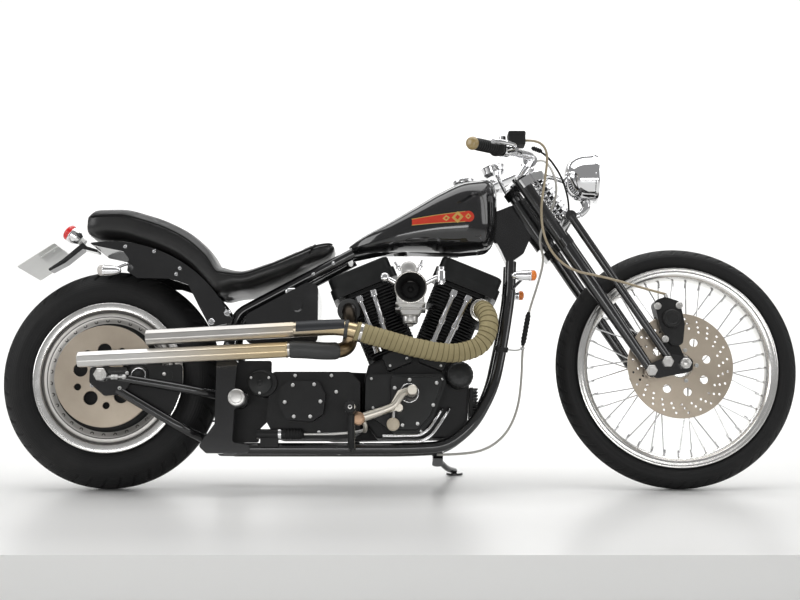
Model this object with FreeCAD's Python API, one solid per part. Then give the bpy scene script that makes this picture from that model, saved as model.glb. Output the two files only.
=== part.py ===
import FreeCAD
import Part
import math
import os
from FreeCAD import Vector as V

# A low chopper motorcycle, 45 degree V-twin, leaning on its side stand.
# It is modelled upright: x runs forward from the rear axle, y to the rider's left, z up from the ground.
# At the end every piece is leaned over and moved, so that the origin is under the middle of the machine.

# Driving sizes, in mm and degrees
WHEELBASE = 1650.0
LEAN = 9.0
RAKE = 33.0
STEER_LIMIT = 28.0
STEER_GROUND_X = 1742.0      # where the steering axis meets the ground, upright
GAP = 0.3                    # between pieces that sit on each other
RUN = 5.0                    # least room round what moves

# Tyres and wheels
FRONT_TYRE_R = 352.0
FRONT_TYRE_HALF = 45.0
FRONT_SIDEWALL = 60.0        # from the rim's flange up to the tread
FRONT_RIM_HALF = 36.0
FRONT_RIM_DEPTH = 19.0       # from the tyre's seat down to the rim's inside
REAR_TYRE_R = 318.0
REAR_TYRE_HALF = 75.0
REAR_SIDEWALL = 101.0
REAR_RIM_HALF = 68.0
REAR_RIM_WALL = 7.0
FLANGE_WALL = 5.0
FLANGE_TALL = 14.0           # from the tyre's seat up to the flange's edge
AXLE_R = 10.0
AXLE_PLAY = 0.3
HUB_FLANGE_R = 42.0
HUB_HALF = 38.0
SPOKES = 40
SPOKE_R = 2.0
SPOKE_SWEEP = 34.0           # degrees between a spoke's hub end and its rim end
FRONT_DISC_R = 152.0
FRONT_DISC_Y = -65.0
REAR_DISC_R = 146.0
REAR_DISC_Y = -97.0
DISC_HALF = 3.0
PULLEY_R = 140.0
PULLEY_Y = 104.0
BELT_HALF = 13.0
FRONT_PULLEY_X = 492.0
FRONT_PULLEY_Z = 262.0
FRONT_PULLEY_R = 38.0

# Frame
RAIL_R = 16.0
RAIL_Y = 118.0
RAIL_Z = 112.0
NECK_R = 34.0
NECK_LOW_Z = 715.0
NECK_TOP_Z = 846.0
STEM_R = 14.0
BACKBONE_R = 18.0
SEAT_RAIL_Y = 60.0
POST_IN = 116.0
POST_OUT = 148.0
PIVOT_X = 383.0
PIVOT_Z = 253.0
PIVOT_R = 24.0
ARM_IN = 122.0
ARM_OUT = 148.0

# Engine
CRANK_X = 885.0
CRANK_Z = 232.0
CYLINDER_ANGLE = 22.5        # each side of upright
DECK = 165.0                 # crank centre to the foot of a cylinder
HEAD_FOOT = 290.0
ROCKER_FOOT = 375.0
ROCKER_TOP = 442.0
CASE_HALF = 75.0
BARREL_R = 58.0
FIN_HALF = 75.0
HEAD_HALF = 86.0
FIN_PITCH = 9.5
FIN_THICK = 3.5
CAM_Y = -150.0
PRIMARY_FACE = 176.0
STATOR_FACE = 190.0
PUSHROD_R = 9.0
PUSHROD_Y = -108.0
STACK_X = 871.0
STACK_Z = 559.0
STACK_R = 45.0

# Exhaust
PIPE_R = 21.0
WRAP_R = 27.0
PIPE_Y = -225.0

# Fork, counted from the steering axis
LEG_AHEAD = 28.0
SPRING_AHEAD = 90.0
LEG_Y = 100.0
LEG_R = 21.0
SPRING_LEG_R = 12.0
PIN_R = 8.0
FORK_LOW_Z = 332.0
SPRING_LOW_Z = 357.0
CROWN_Z = 866.0               # on the steering axis
LOWER_CROWN_Z = 690.0
COIL_Y = 34.0
COIL_R = 17.0
COIL_WIRE_R = 4.0
SPRING_ROD_R = 6.0
SPRING_SPAN = 80.0            # from the bridge under the springs up to the top clamp
CROWN_THICK = 26.0

# Bars, lamp and seat
CAP_X = 1034.0
CAP_Z = 903.5
CAP_NECK_R = 26.0
CAP_AXIS = V(-0.14, 0.0, 0.99)
GRIP_END = (1040.0, 345.0, 933.0)
GRIP_ROOT = (1118.0, 240.0, 948.0)
GRIP_R = 17.0
MIRROR_R = 5.0                # M10 thread
MIRROR_DEPTH = 14.0
MIRROR_BOSS = 38.0
BAR_R = 12.7
BAR_X = 1228.0
BAR_Z = 966.0
RISER_Y = 40.0
LAMP_X = 1437.0
LAMP_Z = 922.0
LAMP_R = 78.0
FENDER_ROOM = 74.0            # from the rear tyre's tread to the fender's outside
FENDER_SHEET = 3.0
FENDER_HALF = 104.0

# Side stand and pegs
STAND_PIVOT = (955.0, 160.0, 90.0)
STAND_EYE_HALF = 11.0
STAND_PIN_R = 7.0
STAND_FOOT_X = 1012.0
STAND_FOOT_Y = 292.0
STAND_FOLD = 100.0
PEG_OUT = 300.0
PEG_Z = 217.0

TAN_RAKE = math.tan(math.radians(RAKE))
COS_RAKE = math.cos(math.radians(RAKE))
SIN_LEAN = math.sin(math.radians(LEAN))
COS_LEAN = math.cos(math.radians(LEAN))

FRONT_FLANGE_R = FRONT_TYRE_R - FRONT_SIDEWALL
FRONT_BEAD_R = FRONT_FLANGE_R - FLANGE_TALL
FRONT_RIM_INNER_R = FRONT_BEAD_R - FRONT_RIM_DEPTH
REAR_FLANGE_R = REAR_TYRE_R - REAR_SIDEWALL
REAR_BEAD_R = REAR_FLANGE_R - FLANGE_TALL
REAR_WELL_R = REAR_BEAD_R - REAR_RIM_WALL
FENDER_R = REAR_TYRE_R + FENDER_ROOM
SPRING_BRIDGE_Z = CROWN_Z - SPRING_SPAN

# Both tyres stand on the ground when they lean: each rolls on to the round of its own crown.
REAR_AXLE_Z = REAR_TYRE_R
LIFT = REAR_TYRE_HALF * (1.0 - COS_LEAN)
FRONT_AXLE_Z = (FRONT_TYRE_HALF + (FRONT_TYRE_R - FRONT_TYRE_HALF) * COS_LEAN - LIFT) / COS_LEAN
REAR_AXLE = V(0.0, 0.0, REAR_AXLE_Z)
FRONT_AXLE = V(WHEELBASE, 0.0, FRONT_AXLE_Z)
SIDE = V(0.0, 1.0, 0.0)
STEER_AXIS = V(-math.sin(math.radians(RAKE)), 0.0, COS_RAKE)
FORK_AHEAD = V(COS_RAKE, 0.0, math.sin(math.radians(RAKE)))
UP = V(0.0, 0.0, 1.0)


# Shape helpers

def section(steps):
    """A closed flat outline in the x-z plane. A step is an end point, or a pair (middle, end) of an arc."""
    first = steps[0]
    here = V(first[0], 0.0, first[1])
    edges = []
    for step in list(steps[1:]) + [first]:
        if isinstance(step[0], tuple):
            middle = V(step[0][0], 0.0, step[0][1])
            end = V(step[1][0], 0.0, step[1][1])
            edges.append(Part.Arc(here, middle, end).toShape())
        else:
            end = V(step[0], 0.0, step[1])
            if (end - here).Length < 1e-6:
                continue
            edges.append(Part.LineSegment(here, end).toShape())
        here = end
    return Part.Wire(edges)


def corner(before, at, after, radius):
    """The two ends and the middle of the arc that rounds a corner, at most 0.45 of its shorter run."""
    u = before - at
    w = after - at
    short = min(u.Length, w.Length)
    u.normalize()
    w.normalize()
    half = (math.pi - u.getAngle(w)) / 2.0
    reach = 0.45 * short
    if radius is not None:
        reach = min(reach, radius * math.tan(half))
    bisector = u + w
    bisector.normalize()
    arc_radius = reach / math.tan(half)
    middle = at + bisector * (arc_radius / math.cos(half) - arc_radius)
    return at + u * reach, middle, at + w * reach


def rounded(points, radius):
    """A closed wire through the corners given as (x, z), each rounded to the radius."""
    corners = [V(x, 0.0, z) for x, z in points]
    count = len(corners)
    arcs = [corner(corners[i - 1], corners[i], corners[(i + 1) % count], radius) for i in range(count)]
    edges = []
    for i in range(count):
        start, middle, end = arcs[i]
        edges.append(Part.Arc(start, middle, end).toShape())
        following = arcs[(i + 1) % count][0]
        if (following - end).Length > 1e-6:
            edges.append(Part.LineSegment(end, following).toShape())
    return Part.Wire(edges)


def path(points, radius=None):
    """Straight runs joined by tangent arcs, as large as the runs allow or as the radius given."""
    start = points[0]
    edges = []
    for i in range(1, len(points) - 1):
        arc_start, middle, arc_end = corner(points[i - 1], points[i], points[i + 1], radius)
        edges.append(Part.LineSegment(start, arc_start).toShape())
        edges.append(Part.Arc(arc_start, middle, arc_end).toShape())
        start = arc_end
    edges.append(Part.LineSegment(start, points[-1]).toShape())
    return Part.Wire(edges)


def pipe(points, r, radius=None):
    """A round bar along a path of points."""
    ring = Part.Wire(Part.makeCircle(r, points[0], points[1] - points[0]))
    return path(points, radius).makePipeShell([ring], True, False)


def rod(p, q, r, r_end=None):
    """A round bar or a cone between two points."""
    axis = q - p
    if r_end is None or abs(r_end - r) < 1e-6:
        return Part.makeCylinder(r, axis.Length, p, axis)
    return Part.makeCone(r, r_end, axis.Length, p, axis)


def sleeve(p, q, r, bore):
    return rod(p, q, r).cut(rod(p, q, bore))


def slab(outline, y0, y1):
    """An outline in the x-z plane, carried sideways from y0 to y1."""
    face = Part.Face(outline)
    face.translate(V(0.0, y0, 0.0))
    return face.extrude(V(0.0, y1 - y0, 0.0))


def turned(outline, centre, axis):
    """An outline of (radius, height) in the x-z plane, turned about an axis through the centre."""
    solid = Part.Face(outline).revolve(V(0, 0, 0), V(0, 0, 1), 360)
    solid.Placement = FreeCAD.Placement(centre, FreeCAD.Rotation(V(0, 0, 1), axis))
    return solid


def mirrored(shape):
    return shape.mirror(V(0, 0, 0), SIDE)


def fused(*shapes):
    whole = shapes[0].multiFuse(list(shapes[1:]))
    tidy = whole.removeSplitter()
    return tidy if tidy.isValid() else whole


def box(x0, x1, y0, y1, z0, z1):
    return Part.makeBox(x1 - x0, y1 - y0, z1 - z0, V(x0, y0, z0))


def softened(solid, r, pick):
    """The solid with those of its edges rounded that pick says."""
    edges = [edge for edge in solid.Edges if pick(edge)]
    return solid.makeFillet(r, edges)


def outer_edges(y):
    """Says whether an edge lies flat at the side position y."""
    return lambda edge: all(abs(vertex.Y - y) < 0.01 for vertex in edge.Vertexes)


def oval(x, z, half_y, half_z, tip=2.4):
    """A rounded four-sided hoop across the machine, at x, between a square and an ellipse."""
    pts = []
    steps = 24
    for i in range(steps):
        angle = 2.0 * math.pi * i / steps
        c = math.cos(angle)
        s = math.sin(angle)
        pts.append(V(
            x,
            half_y * math.copysign(abs(c) ** (2.0 / tip), c),
            z + half_z * math.copysign(abs(s) ** (2.0 / tip), s),
        ))
    curve = Part.BSplineCurve()
    curve.interpolate(Points=pts, PeriodicFlag=True)
    return Part.Wire(curve.toShape())


def fork_point(z, ahead, y=0.0):
    """A point at height z on a line beside the steering axis, so far ahead of it."""
    return V(STEER_GROUND_X - z * TAN_RAKE + ahead / COS_RAKE, y, z)


def clamp_point(z, ahead, y, up):
    """A point square to the steering axis at its height z: so far ahead, sideways and up along it."""
    return fork_point(z, 0.0) + FORK_AHEAD * ahead + SIDE * y + STEER_AXIS * up


def seat_rail_points(side):
    """From the backbone down under the seat, then out to the rear post's top."""
    y = side * SEAT_RAIL_Y
    post_y = side * (POST_IN + RAIL_R)
    return [V(704.0, y, 682.5), V(688.0, y, 674.0), V(459.0, y, 551.0), V(368.0, y, 502.0),
            V(352.0, side * 61.0, 440.0), V(353.0, post_y, 392.0), V(353.0, post_y, 362.0 + GAP)]


def cradle_points(side):
    """Down from the neck, along the bottom and back to the rear post."""
    y = side * RAIL_Y
    return [V(1168.0, side * 41.0, 660.0), V(1163.0, side * 48.0, 560.0), V(1138.0, side * 80.0, 420.0),
            V(1108.0, side * 104.0, 285.0), V(1050.0, y, 180.0), V(975.0, y, 118.0), V(860.0, y, RAIL_Z),
            V(345.0, y, RAIL_Z)]


# Wheels

def tyre(centre, outer, half, flange, bead, rim_half):
    """The crown is one arc of the tyre's half width, so that the wheel can lean."""
    shoulder = math.radians(42.0)
    crown_r = outer - half + half * math.cos(shoulder)
    crown_y = half * math.sin(shoulder)
    seat_half = rim_half - FLANGE_WALL - GAP
    belly_r = (crown_r + flange) / 2.0
    profile = section([
        (bead + GAP, -seat_half),
        (flange, -seat_half),
        (flange + 3.0, -seat_half - 2.0),
        ((belly_r, -half), (crown_r, -crown_y)),
        ((outer, 0.0), (crown_r, crown_y)),
        ((belly_r, half), (flange + 3.0, seat_half + 2.0)),
        (flange, seat_half),
        (bead + GAP, seat_half),
    ])
    return turned(profile, centre, SIDE)


def front_rim():
    h = FRONT_RIM_HALF
    profile = section([
        (FRONT_RIM_INNER_R, -8.0),
        (FRONT_RIM_INNER_R + 6.0, -h + 9.0),
        (FRONT_BEAD_R - 6.0, -h),
        (FRONT_FLANGE_R, -h),
        (FRONT_FLANGE_R, -h + FLANGE_WALL),
        (FRONT_BEAD_R, -h + FLANGE_WALL),
        (FRONT_BEAD_R, -20.0),
        (FRONT_RIM_INNER_R + 5.0, -12.0),
        (FRONT_RIM_INNER_R + 5.0, 12.0),
        (FRONT_BEAD_R, 20.0),
        (FRONT_BEAD_R, h - FLANGE_WALL),
        (FRONT_FLANGE_R, h - FLANGE_WALL),
        (FRONT_FLANGE_R, h),
        (FRONT_BEAD_R - 6.0, h),
        (FRONT_RIM_INNER_R + 6.0, h - 9.0),
        (FRONT_RIM_INNER_R, 8.0),
    ])
    return turned(profile, FRONT_AXLE, SIDE)


def front_hub():
    bore = AXLE_R + AXLE_PLAY
    disc_seat = FRONT_DISC_Y + DISC_HALF + GAP
    profile = section([
        (bore, disc_seat),
        (32.0, disc_seat),
        (32.0, -HUB_HALF),
        (HUB_FLANGE_R, -HUB_HALF + 4.0),
        (HUB_FLANGE_R, -HUB_HALF + 9.0),
        ((24.0, 0.0), (HUB_FLANGE_R, HUB_HALF - 9.0)),
        (HUB_FLANGE_R, HUB_HALF - 4.0),
        (30.0, HUB_HALF),
        (bore, HUB_HALF),
    ])
    return turned(profile, FRONT_AXLE, SIDE)


def front_spokes():
    """Crossed wires from the two hub flanges to the rim's middle."""
    wires = []
    for i in range(SPOKES):
        hub_side = 1.0 if i % 2 else -1.0
        sweep = SPOKE_SWEEP if (i // 2) % 2 else -SPOKE_SWEEP
        rim_angle = math.radians(360.0 * i / SPOKES)
        hub_angle = rim_angle + math.radians(sweep)
        hub_r = HUB_FLANGE_R + GAP + SPOKE_R
        rim_r = FRONT_RIM_INNER_R - GAP - SPOKE_R
        p = FRONT_AXLE + V(hub_r * math.cos(hub_angle), hub_side * (HUB_HALF - 6.5), hub_r * math.sin(hub_angle))
        q = FRONT_AXLE + V(rim_r * math.cos(rim_angle), hub_side * 4.0, rim_r * math.sin(rim_angle))
        wires.append(rod(p, q, SPOKE_R))
    return wires


def brake_disc(centre, y, r, hub_r, windows, window_r, window_at):
    """A flat ring with a row of round windows."""
    middle = centre + V(0.0, y - DISC_HALF, 0.0)
    disc = Part.makeCylinder(r, 2.0 * DISC_HALF, middle, SIDE)
    holes = [Part.makeCylinder(hub_r, 2.0 * DISC_HALF, middle, SIDE)]
    for i in range(windows):
        angle = 2.0 * math.pi * (i + 0.3) / windows
        at = middle + V(window_at * math.cos(angle), 0.0, window_at * math.sin(angle))
        holes.append(Part.makeCylinder(window_r, 2.0 * DISC_HALF, at, SIDE))
    return disc.cut(Part.makeCompound(holes))


def rear_wheel():
    """One solid casting: rim, dished web and hub."""
    h = REAR_RIM_HALF
    bore = AXLE_R + AXLE_PLAY
    disc_seat = REAR_DISC_Y + DISC_HALF + GAP
    pulley_seat = PULLEY_Y - BELT_HALF - GAP
    profile = section([
        (bore, disc_seat),
        (38.0, disc_seat),
        (46.0, -h + 4.0),
        (REAR_WELL_R - 46.0, -h + 14.0),
        (REAR_WELL_R - 24.0, -h + 4.0),
        (REAR_WELL_R - 4.0, -h + 4.0),
        (REAR_WELL_R, -h),
        (REAR_FLANGE_R, -h),
        (REAR_FLANGE_R, -h + FLANGE_WALL),
        (REAR_BEAD_R, -h + FLANGE_WALL),
        (REAR_BEAD_R, h - FLANGE_WALL),
        (REAR_FLANGE_R, h - FLANGE_WALL),
        (REAR_FLANGE_R, h),
        (REAR_WELL_R, h),
        (REAR_WELL_R - 4.0, h - 4.0),
        (REAR_WELL_R - 16.0, -h + 40.0),
        (60.0, -h + 40.0),
        (46.0, h - 4.0),
        (38.0, pulley_seat),
        (bore, pulley_seat),
    ])
    return turned(profile, REAR_AXLE, SIDE)


def rear_pulley():
    profile = section([
        (AXLE_R + AXLE_PLAY, PULLEY_Y - BELT_HALF),
        (PULLEY_R, PULLEY_Y - BELT_HALF),
        (PULLEY_R, PULLEY_Y + BELT_HALF),
        (PULLEY_R - 8.0, PULLEY_Y + BELT_HALF),
        (PULLEY_R - 14.0, PULLEY_Y - BELT_HALF + 8.0),
        (40.0, PULLEY_Y - BELT_HALF + 8.0),
        (34.0, PULLEY_Y + 6.0),
        (AXLE_R + AXLE_PLAY, PULLEY_Y + 6.0),
    ])
    return turned(profile, REAR_AXLE, SIDE)


# Frame

def neck():
    """The tube that holds the steering stem, with a gusset down to the cradle tubes."""
    low = fork_point(NECK_LOW_Z, 0.0)
    top = fork_point(NECK_TOP_Z, 0.0)
    tube = rod(low, top, NECK_R)
    gusset = slab(rounded([(1085, 800), (1180, 838), (1232, 745), (1208, 690), (1160, 655), (1140, 700)], 12.0),
                  -24.0, 24.0)
    beam = rod(V(1150.0, 0.0, 782.0), V(690.0, 0.0, 684.0), BACKBONE_R)
    reach = SEAT_RAIL_Y - RAIL_R - GAP
    cross = rod(V(690.0, -reach, 675.0), V(690.0, reach, 675.0), 13.0)
    whole = fused(tube, gusset, beam, cross)
    axis = top - low
    axis.normalize()
    return whole.cut(rod(low - axis * 10.0, top + axis * 10.0, STEM_R + 2.0))


def seat_rail(side):
    return pipe(seat_rail_points(side), RAIL_R)


def cradle(side):
    """Downtube, bottom rail and the flat rear post that holds the swingarm's pivot."""
    tube = pipe(cradle_points(side), RAIL_R)
    post = slab(rounded([(324, 362), (383, 362), (376, 280), (412, 262), (412, 236), (376, 222), (372, 128),
                         (420, 122), (420, 98), (300, 98), (278, 118), (322, 180)], 10.0),
                side * POST_IN, side * POST_OUT)
    hole = rod(V(PIVOT_X, side * 100.0, PIVOT_Z), V(PIVOT_X, side * 160.0, PIVOT_Z), 14.0)
    return fused(tube, post).cut(hole)


def crossmembers():
    """Tubes across the bottom of the frame."""
    reach = RAIL_Y - RAIL_R - GAP
    return [rod(V(x, -reach, z), V(x, reach, z), r) for x, z, r in
            ((960.0, 116.0, 12.0), (660.0, RAIL_Z, 12.0), (345.0, 120.0, 15.0))]


def swingarm():
    """Two triangular sides, joined by the pivot tube."""
    sides = []
    for side in (-1.0, 1.0):
        y = side * (ARM_IN + ARM_OUT) / 2.0
        inner = side * 80.0
        plate = slab(rounded([(-34, 340), (70, 340), (84, 300), (60, 262), (10, 258), (-34, 296)], 12.0),
                     side * (ARM_IN + 4.0), side * (ARM_OUT - 4.0))
        lower = pipe([V(45.0, y, 276.0), V(234.0, y, 166.0), V(276.0, inner, 145.0), V(300.0, inner, 136.0)], 13.0)
        upper = pipe([V(50.0, y, 310.0), V(230.0, y, 280.0), V(345.0, inner, 260.0),
                      V(PIVOT_X, inner, PIVOT_Z)], 13.0)
        strut = rod(V(296.0, inner, 140.0), V(PIVOT_X - 6.0, inner, PIVOT_Z - 8.0), 10.0)
        sides += [plate, lower, upper, strut]
    reach = POST_IN - GAP
    tube = rod(V(PIVOT_X, -reach, PIVOT_Z), V(PIVOT_X, reach, PIVOT_Z), PIVOT_R)
    whole = fused(tube, *sides)
    bolt = rod(V(PIVOT_X, -200.0, PIVOT_Z), V(PIVOT_X, 200.0, PIVOT_Z), 12.0 + GAP)
    axle = rod(V(0.0, -200.0, REAR_AXLE_Z), V(0.0, 200.0, REAR_AXLE_Z), AXLE_R + GAP)
    return whole.cut(Part.makeCompound([bolt, axle]))


def pivot_bolt():
    shaft = rod(V(PIVOT_X, -POST_OUT - 6.0, PIVOT_Z), V(PIVOT_X, POST_OUT + 6.0, PIVOT_Z), 12.0)
    caps = [rod(V(PIVOT_X, side * (POST_OUT + GAP), PIVOT_Z), V(PIVOT_X, side * (POST_OUT + 10.0), PIVOT_Z), 23.0)
            for side in (-1.0, 1.0)]
    return fused(shaft, *caps)


def rear_axle():
    """The axle, its nuts and the spacers that hold the wheel in the swingarm."""
    parts = [rod(V(0.0, -164.0, REAR_AXLE_Z), V(0.0, 164.0, REAR_AXLE_Z), AXLE_R)]
    for side in (-1.0, 1.0):
        face = ARM_OUT - 4.0 + GAP
        parts.append(rod(V(0.0, side * face, REAR_AXLE_Z), V(0.0, side * (face + 16.0), REAR_AXLE_Z), 17.0))
    parts.append(sleeve(V(0.0, -ARM_IN - 4.0 + GAP, REAR_AXLE_Z),
                        V(0.0, REAR_DISC_Y - DISC_HALF - 0.5, REAR_AXLE_Z), 16.0, AXLE_R - 1.0))
    parts.append(sleeve(V(0.0, PULLEY_Y + 6.5, REAR_AXLE_Z),
                        V(0.0, ARM_IN + 4.0 - GAP, REAR_AXLE_Z), 16.0, AXLE_R - 1.0))
    return fused(*parts)


# Engine

def cylinder_frame(side):
    """Where a cylinder stands: side is 1 for the front one, -1 for the rear one."""
    angle = math.radians(CYLINDER_ANGLE) * side
    up = V(math.sin(angle), 0.0, math.cos(angle))
    across = V(math.cos(angle), 0.0, -math.sin(angle))
    return up, across


def fin(side, along, half_across, half_y, thick, r):
    """A rounded square plate across a cylinder, at the distance along it."""
    up, across = cylinder_frame(side)
    centre = V(CRANK_X, 0.0, CRANK_Z) + up * along
    corners = [centre + across * (a * half_across) + SIDE * (b * half_y)
               for a, b in ((-1, -1), (1, -1), (1, 1), (-1, 1))]
    arcs = [corner(corners[i - 1], corners[i], corners[(i + 1) % 4], r) for i in range(4)]
    edges = []
    for i in range(4):
        start, middle, end = arcs[i]
        edges.append(Part.Arc(start, middle, end).toShape())
        edges.append(Part.LineSegment(end, arcs[(i + 1) % 4][0]).toShape())
    return Part.Face(Part.Wire(edges)).extrude(up * thick)


def cylinder(side):
    """Barrel, head and their cooling fins, cut off in the middle of the V."""
    up = cylinder_frame(side)[0]
    foot = V(CRANK_X, 0.0, CRANK_Z) + up * (DECK + GAP)
    parts = [rod(foot, foot + up * (ROCKER_FOOT - GAP - DECK - GAP), BARREL_R)]
    parts.append(fin(side, HEAD_FOOT, 66.0, 62.0, ROCKER_FOOT - GAP - HEAD_FOOT, 20.0))
    along = DECK + 12.0
    while along < HEAD_FOOT - FIN_THICK:
        parts.append(fin(side, along, FIN_HALF, FIN_HALF, FIN_THICK, 34.0))
        along += FIN_PITCH
    along = HEAD_FOOT + 4.0
    while along < ROCKER_FOOT - FIN_THICK - 8.0:
        parts.append(fin(side, along, HEAD_HALF, HEAD_HALF - 6.0, FIN_THICK, 26.0))
        along += FIN_PITCH
    whole = fused(*parts)
    other_half = box(CRANK_X - 200.0 * (side + 1.0) / 2.0 - 1.0, CRANK_X + 200.0 * (1.0 - side) / 2.0 + 1.0,
                     -200.0, 200.0, 0.0, 900.0)
    return whole.cut(other_half)


def rocker_box(side):
    """The cover over a cylinder's valve gear, in two stacked lids."""
    base = fin(side, ROCKER_FOOT, 100.0, 80.0, 30.0, 22.0)
    lid = fin(side, ROCKER_FOOT + 30.0, 94.0, 74.0, ROCKER_TOP - ROCKER_FOOT - 30.0, 26.0)
    up = cylinder_frame(side)[0]
    whole = fused(base, lid)
    edges = [e for e in whole.Edges
             if all((v.Point - V(CRANK_X, 0, CRANK_Z)).dot(up) > ROCKER_TOP - 0.1 for v in e.Vertexes)]
    return whole.makeFillet(7.0, edges)


def crankcase():
    """The solid lower half of the engine, with its two cylinder decks."""
    front_up, front_across = cylinder_frame(1.0)
    centre = V(CRANK_X, 0.0, CRANK_Z)
    tip = centre + front_up * DECK + front_across * 78.0
    back = V(2.0 * CRANK_X - tip.x, 0.0, tip.z)
    valley = centre.z + DECK / front_up.z
    outline = rounded([(CRANK_X, valley), (tip.x, tip.z), (1040, 300), (1034, 190), (1000, 142), (775, 142),
                       (738, 190), (736, 300), (back.x, back.z)], 14.0)
    body = slab(outline, -CASE_HALF, CASE_HALF)
    return softened(body, 8.0, lambda e: e.Length > 60.0 and outer_edges(-CASE_HALF)(e) and e.BoundBox.ZMax < 300.0)


def cam_cover():
    """The cover on the engine's right side, with a round boss for its badge place."""
    outline = rounded([(745, 320), (961, 322), (972, 298), (934, 194), (898, 153), (826, 153), (742, 216)], 16.0)
    body = slab(outline, CAM_Y + 20.0, -CASE_HALF - GAP)
    boss = slab(rounded([(812, 316), (955, 312), (962, 296), (926, 200), (890, 162), (832, 162), (815, 200)], 14.0),
                CAM_Y, CAM_Y + 24.0)
    whole = fused(body, boss)
    return softened(whole, 5.0, outer_edges(CAM_Y))


def lifter_blocks():
    """The two blocks that the pushrod tubes stand on."""
    blocks = []
    for side in (-1.0, 1.0):
        up, across = cylinder_frame(side)
        centre = V(CRANK_X, 0.0, CRANK_Z) + up * 120.0
        low = [(-40, 0), (34, 0), (34, 46), (-40, 46)] if side > 0 else [(-34, 0), (40, 0), (40, 46), (-34, 46)]
        points = [centre + across * a + up * b for a, b in low]
        blocks.append(slab(rounded([(p.x, p.z) for p in points], 6.0), PUSHROD_Y - 18.0, -CASE_HALF - GAP))
    return blocks


PUSHROD_FEET = ((781.0, 385.0), (812.0, 398.0), (928.0, 398.0), (962.0, 384.0))
PUSHROD_TOPS = ((722.0, 548.0), (763.0, 566.0), (999.0, 566.0), (1040.0, 549.0))


def pushrod_tubes():
    tubes = []
    for (x0, z0), (x1, z1) in zip(PUSHROD_FEET, PUSHROD_TOPS):
        p = V(x0, PUSHROD_Y, z0)
        q = V(x1, PUSHROD_Y + 14.0, z1)
        along = q - p
        tubes.append(fused(rod(p, q, PUSHROD_R - 1.0), rod(p, p + along * 0.12, PUSHROD_R + 3.0),
                           rod(p + along * 0.42, p + along * 0.5, PUSHROD_R + 1.5),
                           rod(p + along * 0.9, q, PUSHROD_R + 3.0)))
    return tubes


def carburettor():
    """Manifold, body with its float bowl, and the open air horn that faces right."""
    centre = V(STACK_X, 0.0, STACK_Z)
    manifold = rod(centre + V(10.0, -22.0, -10.0), centre + V(0.0, -96.0, 0.0), 24.0)
    body = slab(rounded([(836, 590), (906, 590), (912, 520), (894, 470), (848, 470), (830, 520)], 12.0),
                -152.0, -92.0)
    horn = turned(section([(24.0, 0.0), (30.0, 0.0), ((31.5, 34.0), (STACK_R, 50.0)), (STACK_R - 1.5, 52.0),
                           ((27.0, 36.0), (24.0, 14.0))]),
                  centre + V(0.0, -150.0, 0.0), V(0.0, -1.0, 0.0))
    bore = rod(centre + V(0.0, -140.0, 0.0), centre + V(0.0, -201.0, 0.0), 24.0)
    whole = fused(manifold, body, horn)
    return whole.cut(bore)


def primary_cover():
    """The long oval cover over the clutch and the primary drive, on the left."""
    outline = rounded([(560, 330), (640, 348), (800, 342), (960, 338), (1000, 300), (1000, 190), (960, 146),
                       (640, 140), (560, 156), (540, 200), (540, 290)], 45.0)
    body = slab(outline, CASE_HALF + GAP, PRIMARY_FACE)
    body = softened(body, 14.0, outer_edges(PRIMARY_FACE))
    derby = rod(V(625.0, 170.0, 244.0), V(625.0, 186.0, 244.0), 72.0)
    stator = rod(V(885.0, 170.0, 240.0), V(885.0, STATOR_FACE, 240.0), 80.0, 72.0)
    window = rod(V(755.0, 170.0, 240.0), V(755.0, 182.0, 240.0), 34.0)
    return fused(body, derby, stator, window)


def transmission():
    """The gearbox behind the engine, with its ribbed right cover and the starter above it."""
    body = slab(rounded([(476, 330), (700, 330), (728, 300), (728, 160), (690, 140), (490, 140), (462, 190)], 14.0),
                -112.0, CASE_HALF)
    cover = slab(rounded([(527, 300), (612, 300), (632, 262), (626, 208), (594, 186), (522, 192), (500, 236),
                          (504, 280)], 12.0), -150.0, -104.0)
    starter = rod(V(455.0, -128.0, 296.0), V(455.0, 60.0, 296.0), 38.0)
    bridge = box(455.0, 500.0, -60.0, 60.0, 270.0, 322.0)
    return fused(body, cover, starter, bridge)


def oil_tank():
    """A flat-sided tank under the seat rails."""
    outline = rounded([(400, 410), (606, 410), (606, 580), (574, 588), (400, 494)], 18.0)
    body = slab(outline, -116.0, 116.0)
    channel = [pipe(seat_rail_points(side), RAIL_R + 4.0) for side in (-1.0, 1.0)]
    body = body.cut(Part.makeCompound(channel))
    cap = rod(V(545.0, -112.0, 520.0), V(545.0, -130.0, 520.0), 17.0)
    return fused(body, cap)


def oil_filter():
    return turned(section([(0.0, 0.0), (30.0, 0.0), (30.0, 12.0), (39.0, 14.0), (39.0, 68.0),
                           ((36.5, 75.0), (30.0, 78.0)), (0.0, 80.0)]),
                  V(1010.0, -CASE_HALF - GAP, 318.0), V(0.0, -1.0, 0.0))


def regulator():
    """A finned block at the front of the crankcase."""
    parts = [box(1042.0, 1052.0, -52.0, 52.0, 205.0, 290.0)]
    for i in range(9):
        z = 207.0 + i * 9.6
        parts.append(box(1051.0, 1066.0, -52.0, 52.0, z, z + 4.0))
    return fused(*parts)


# Exhaust

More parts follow.
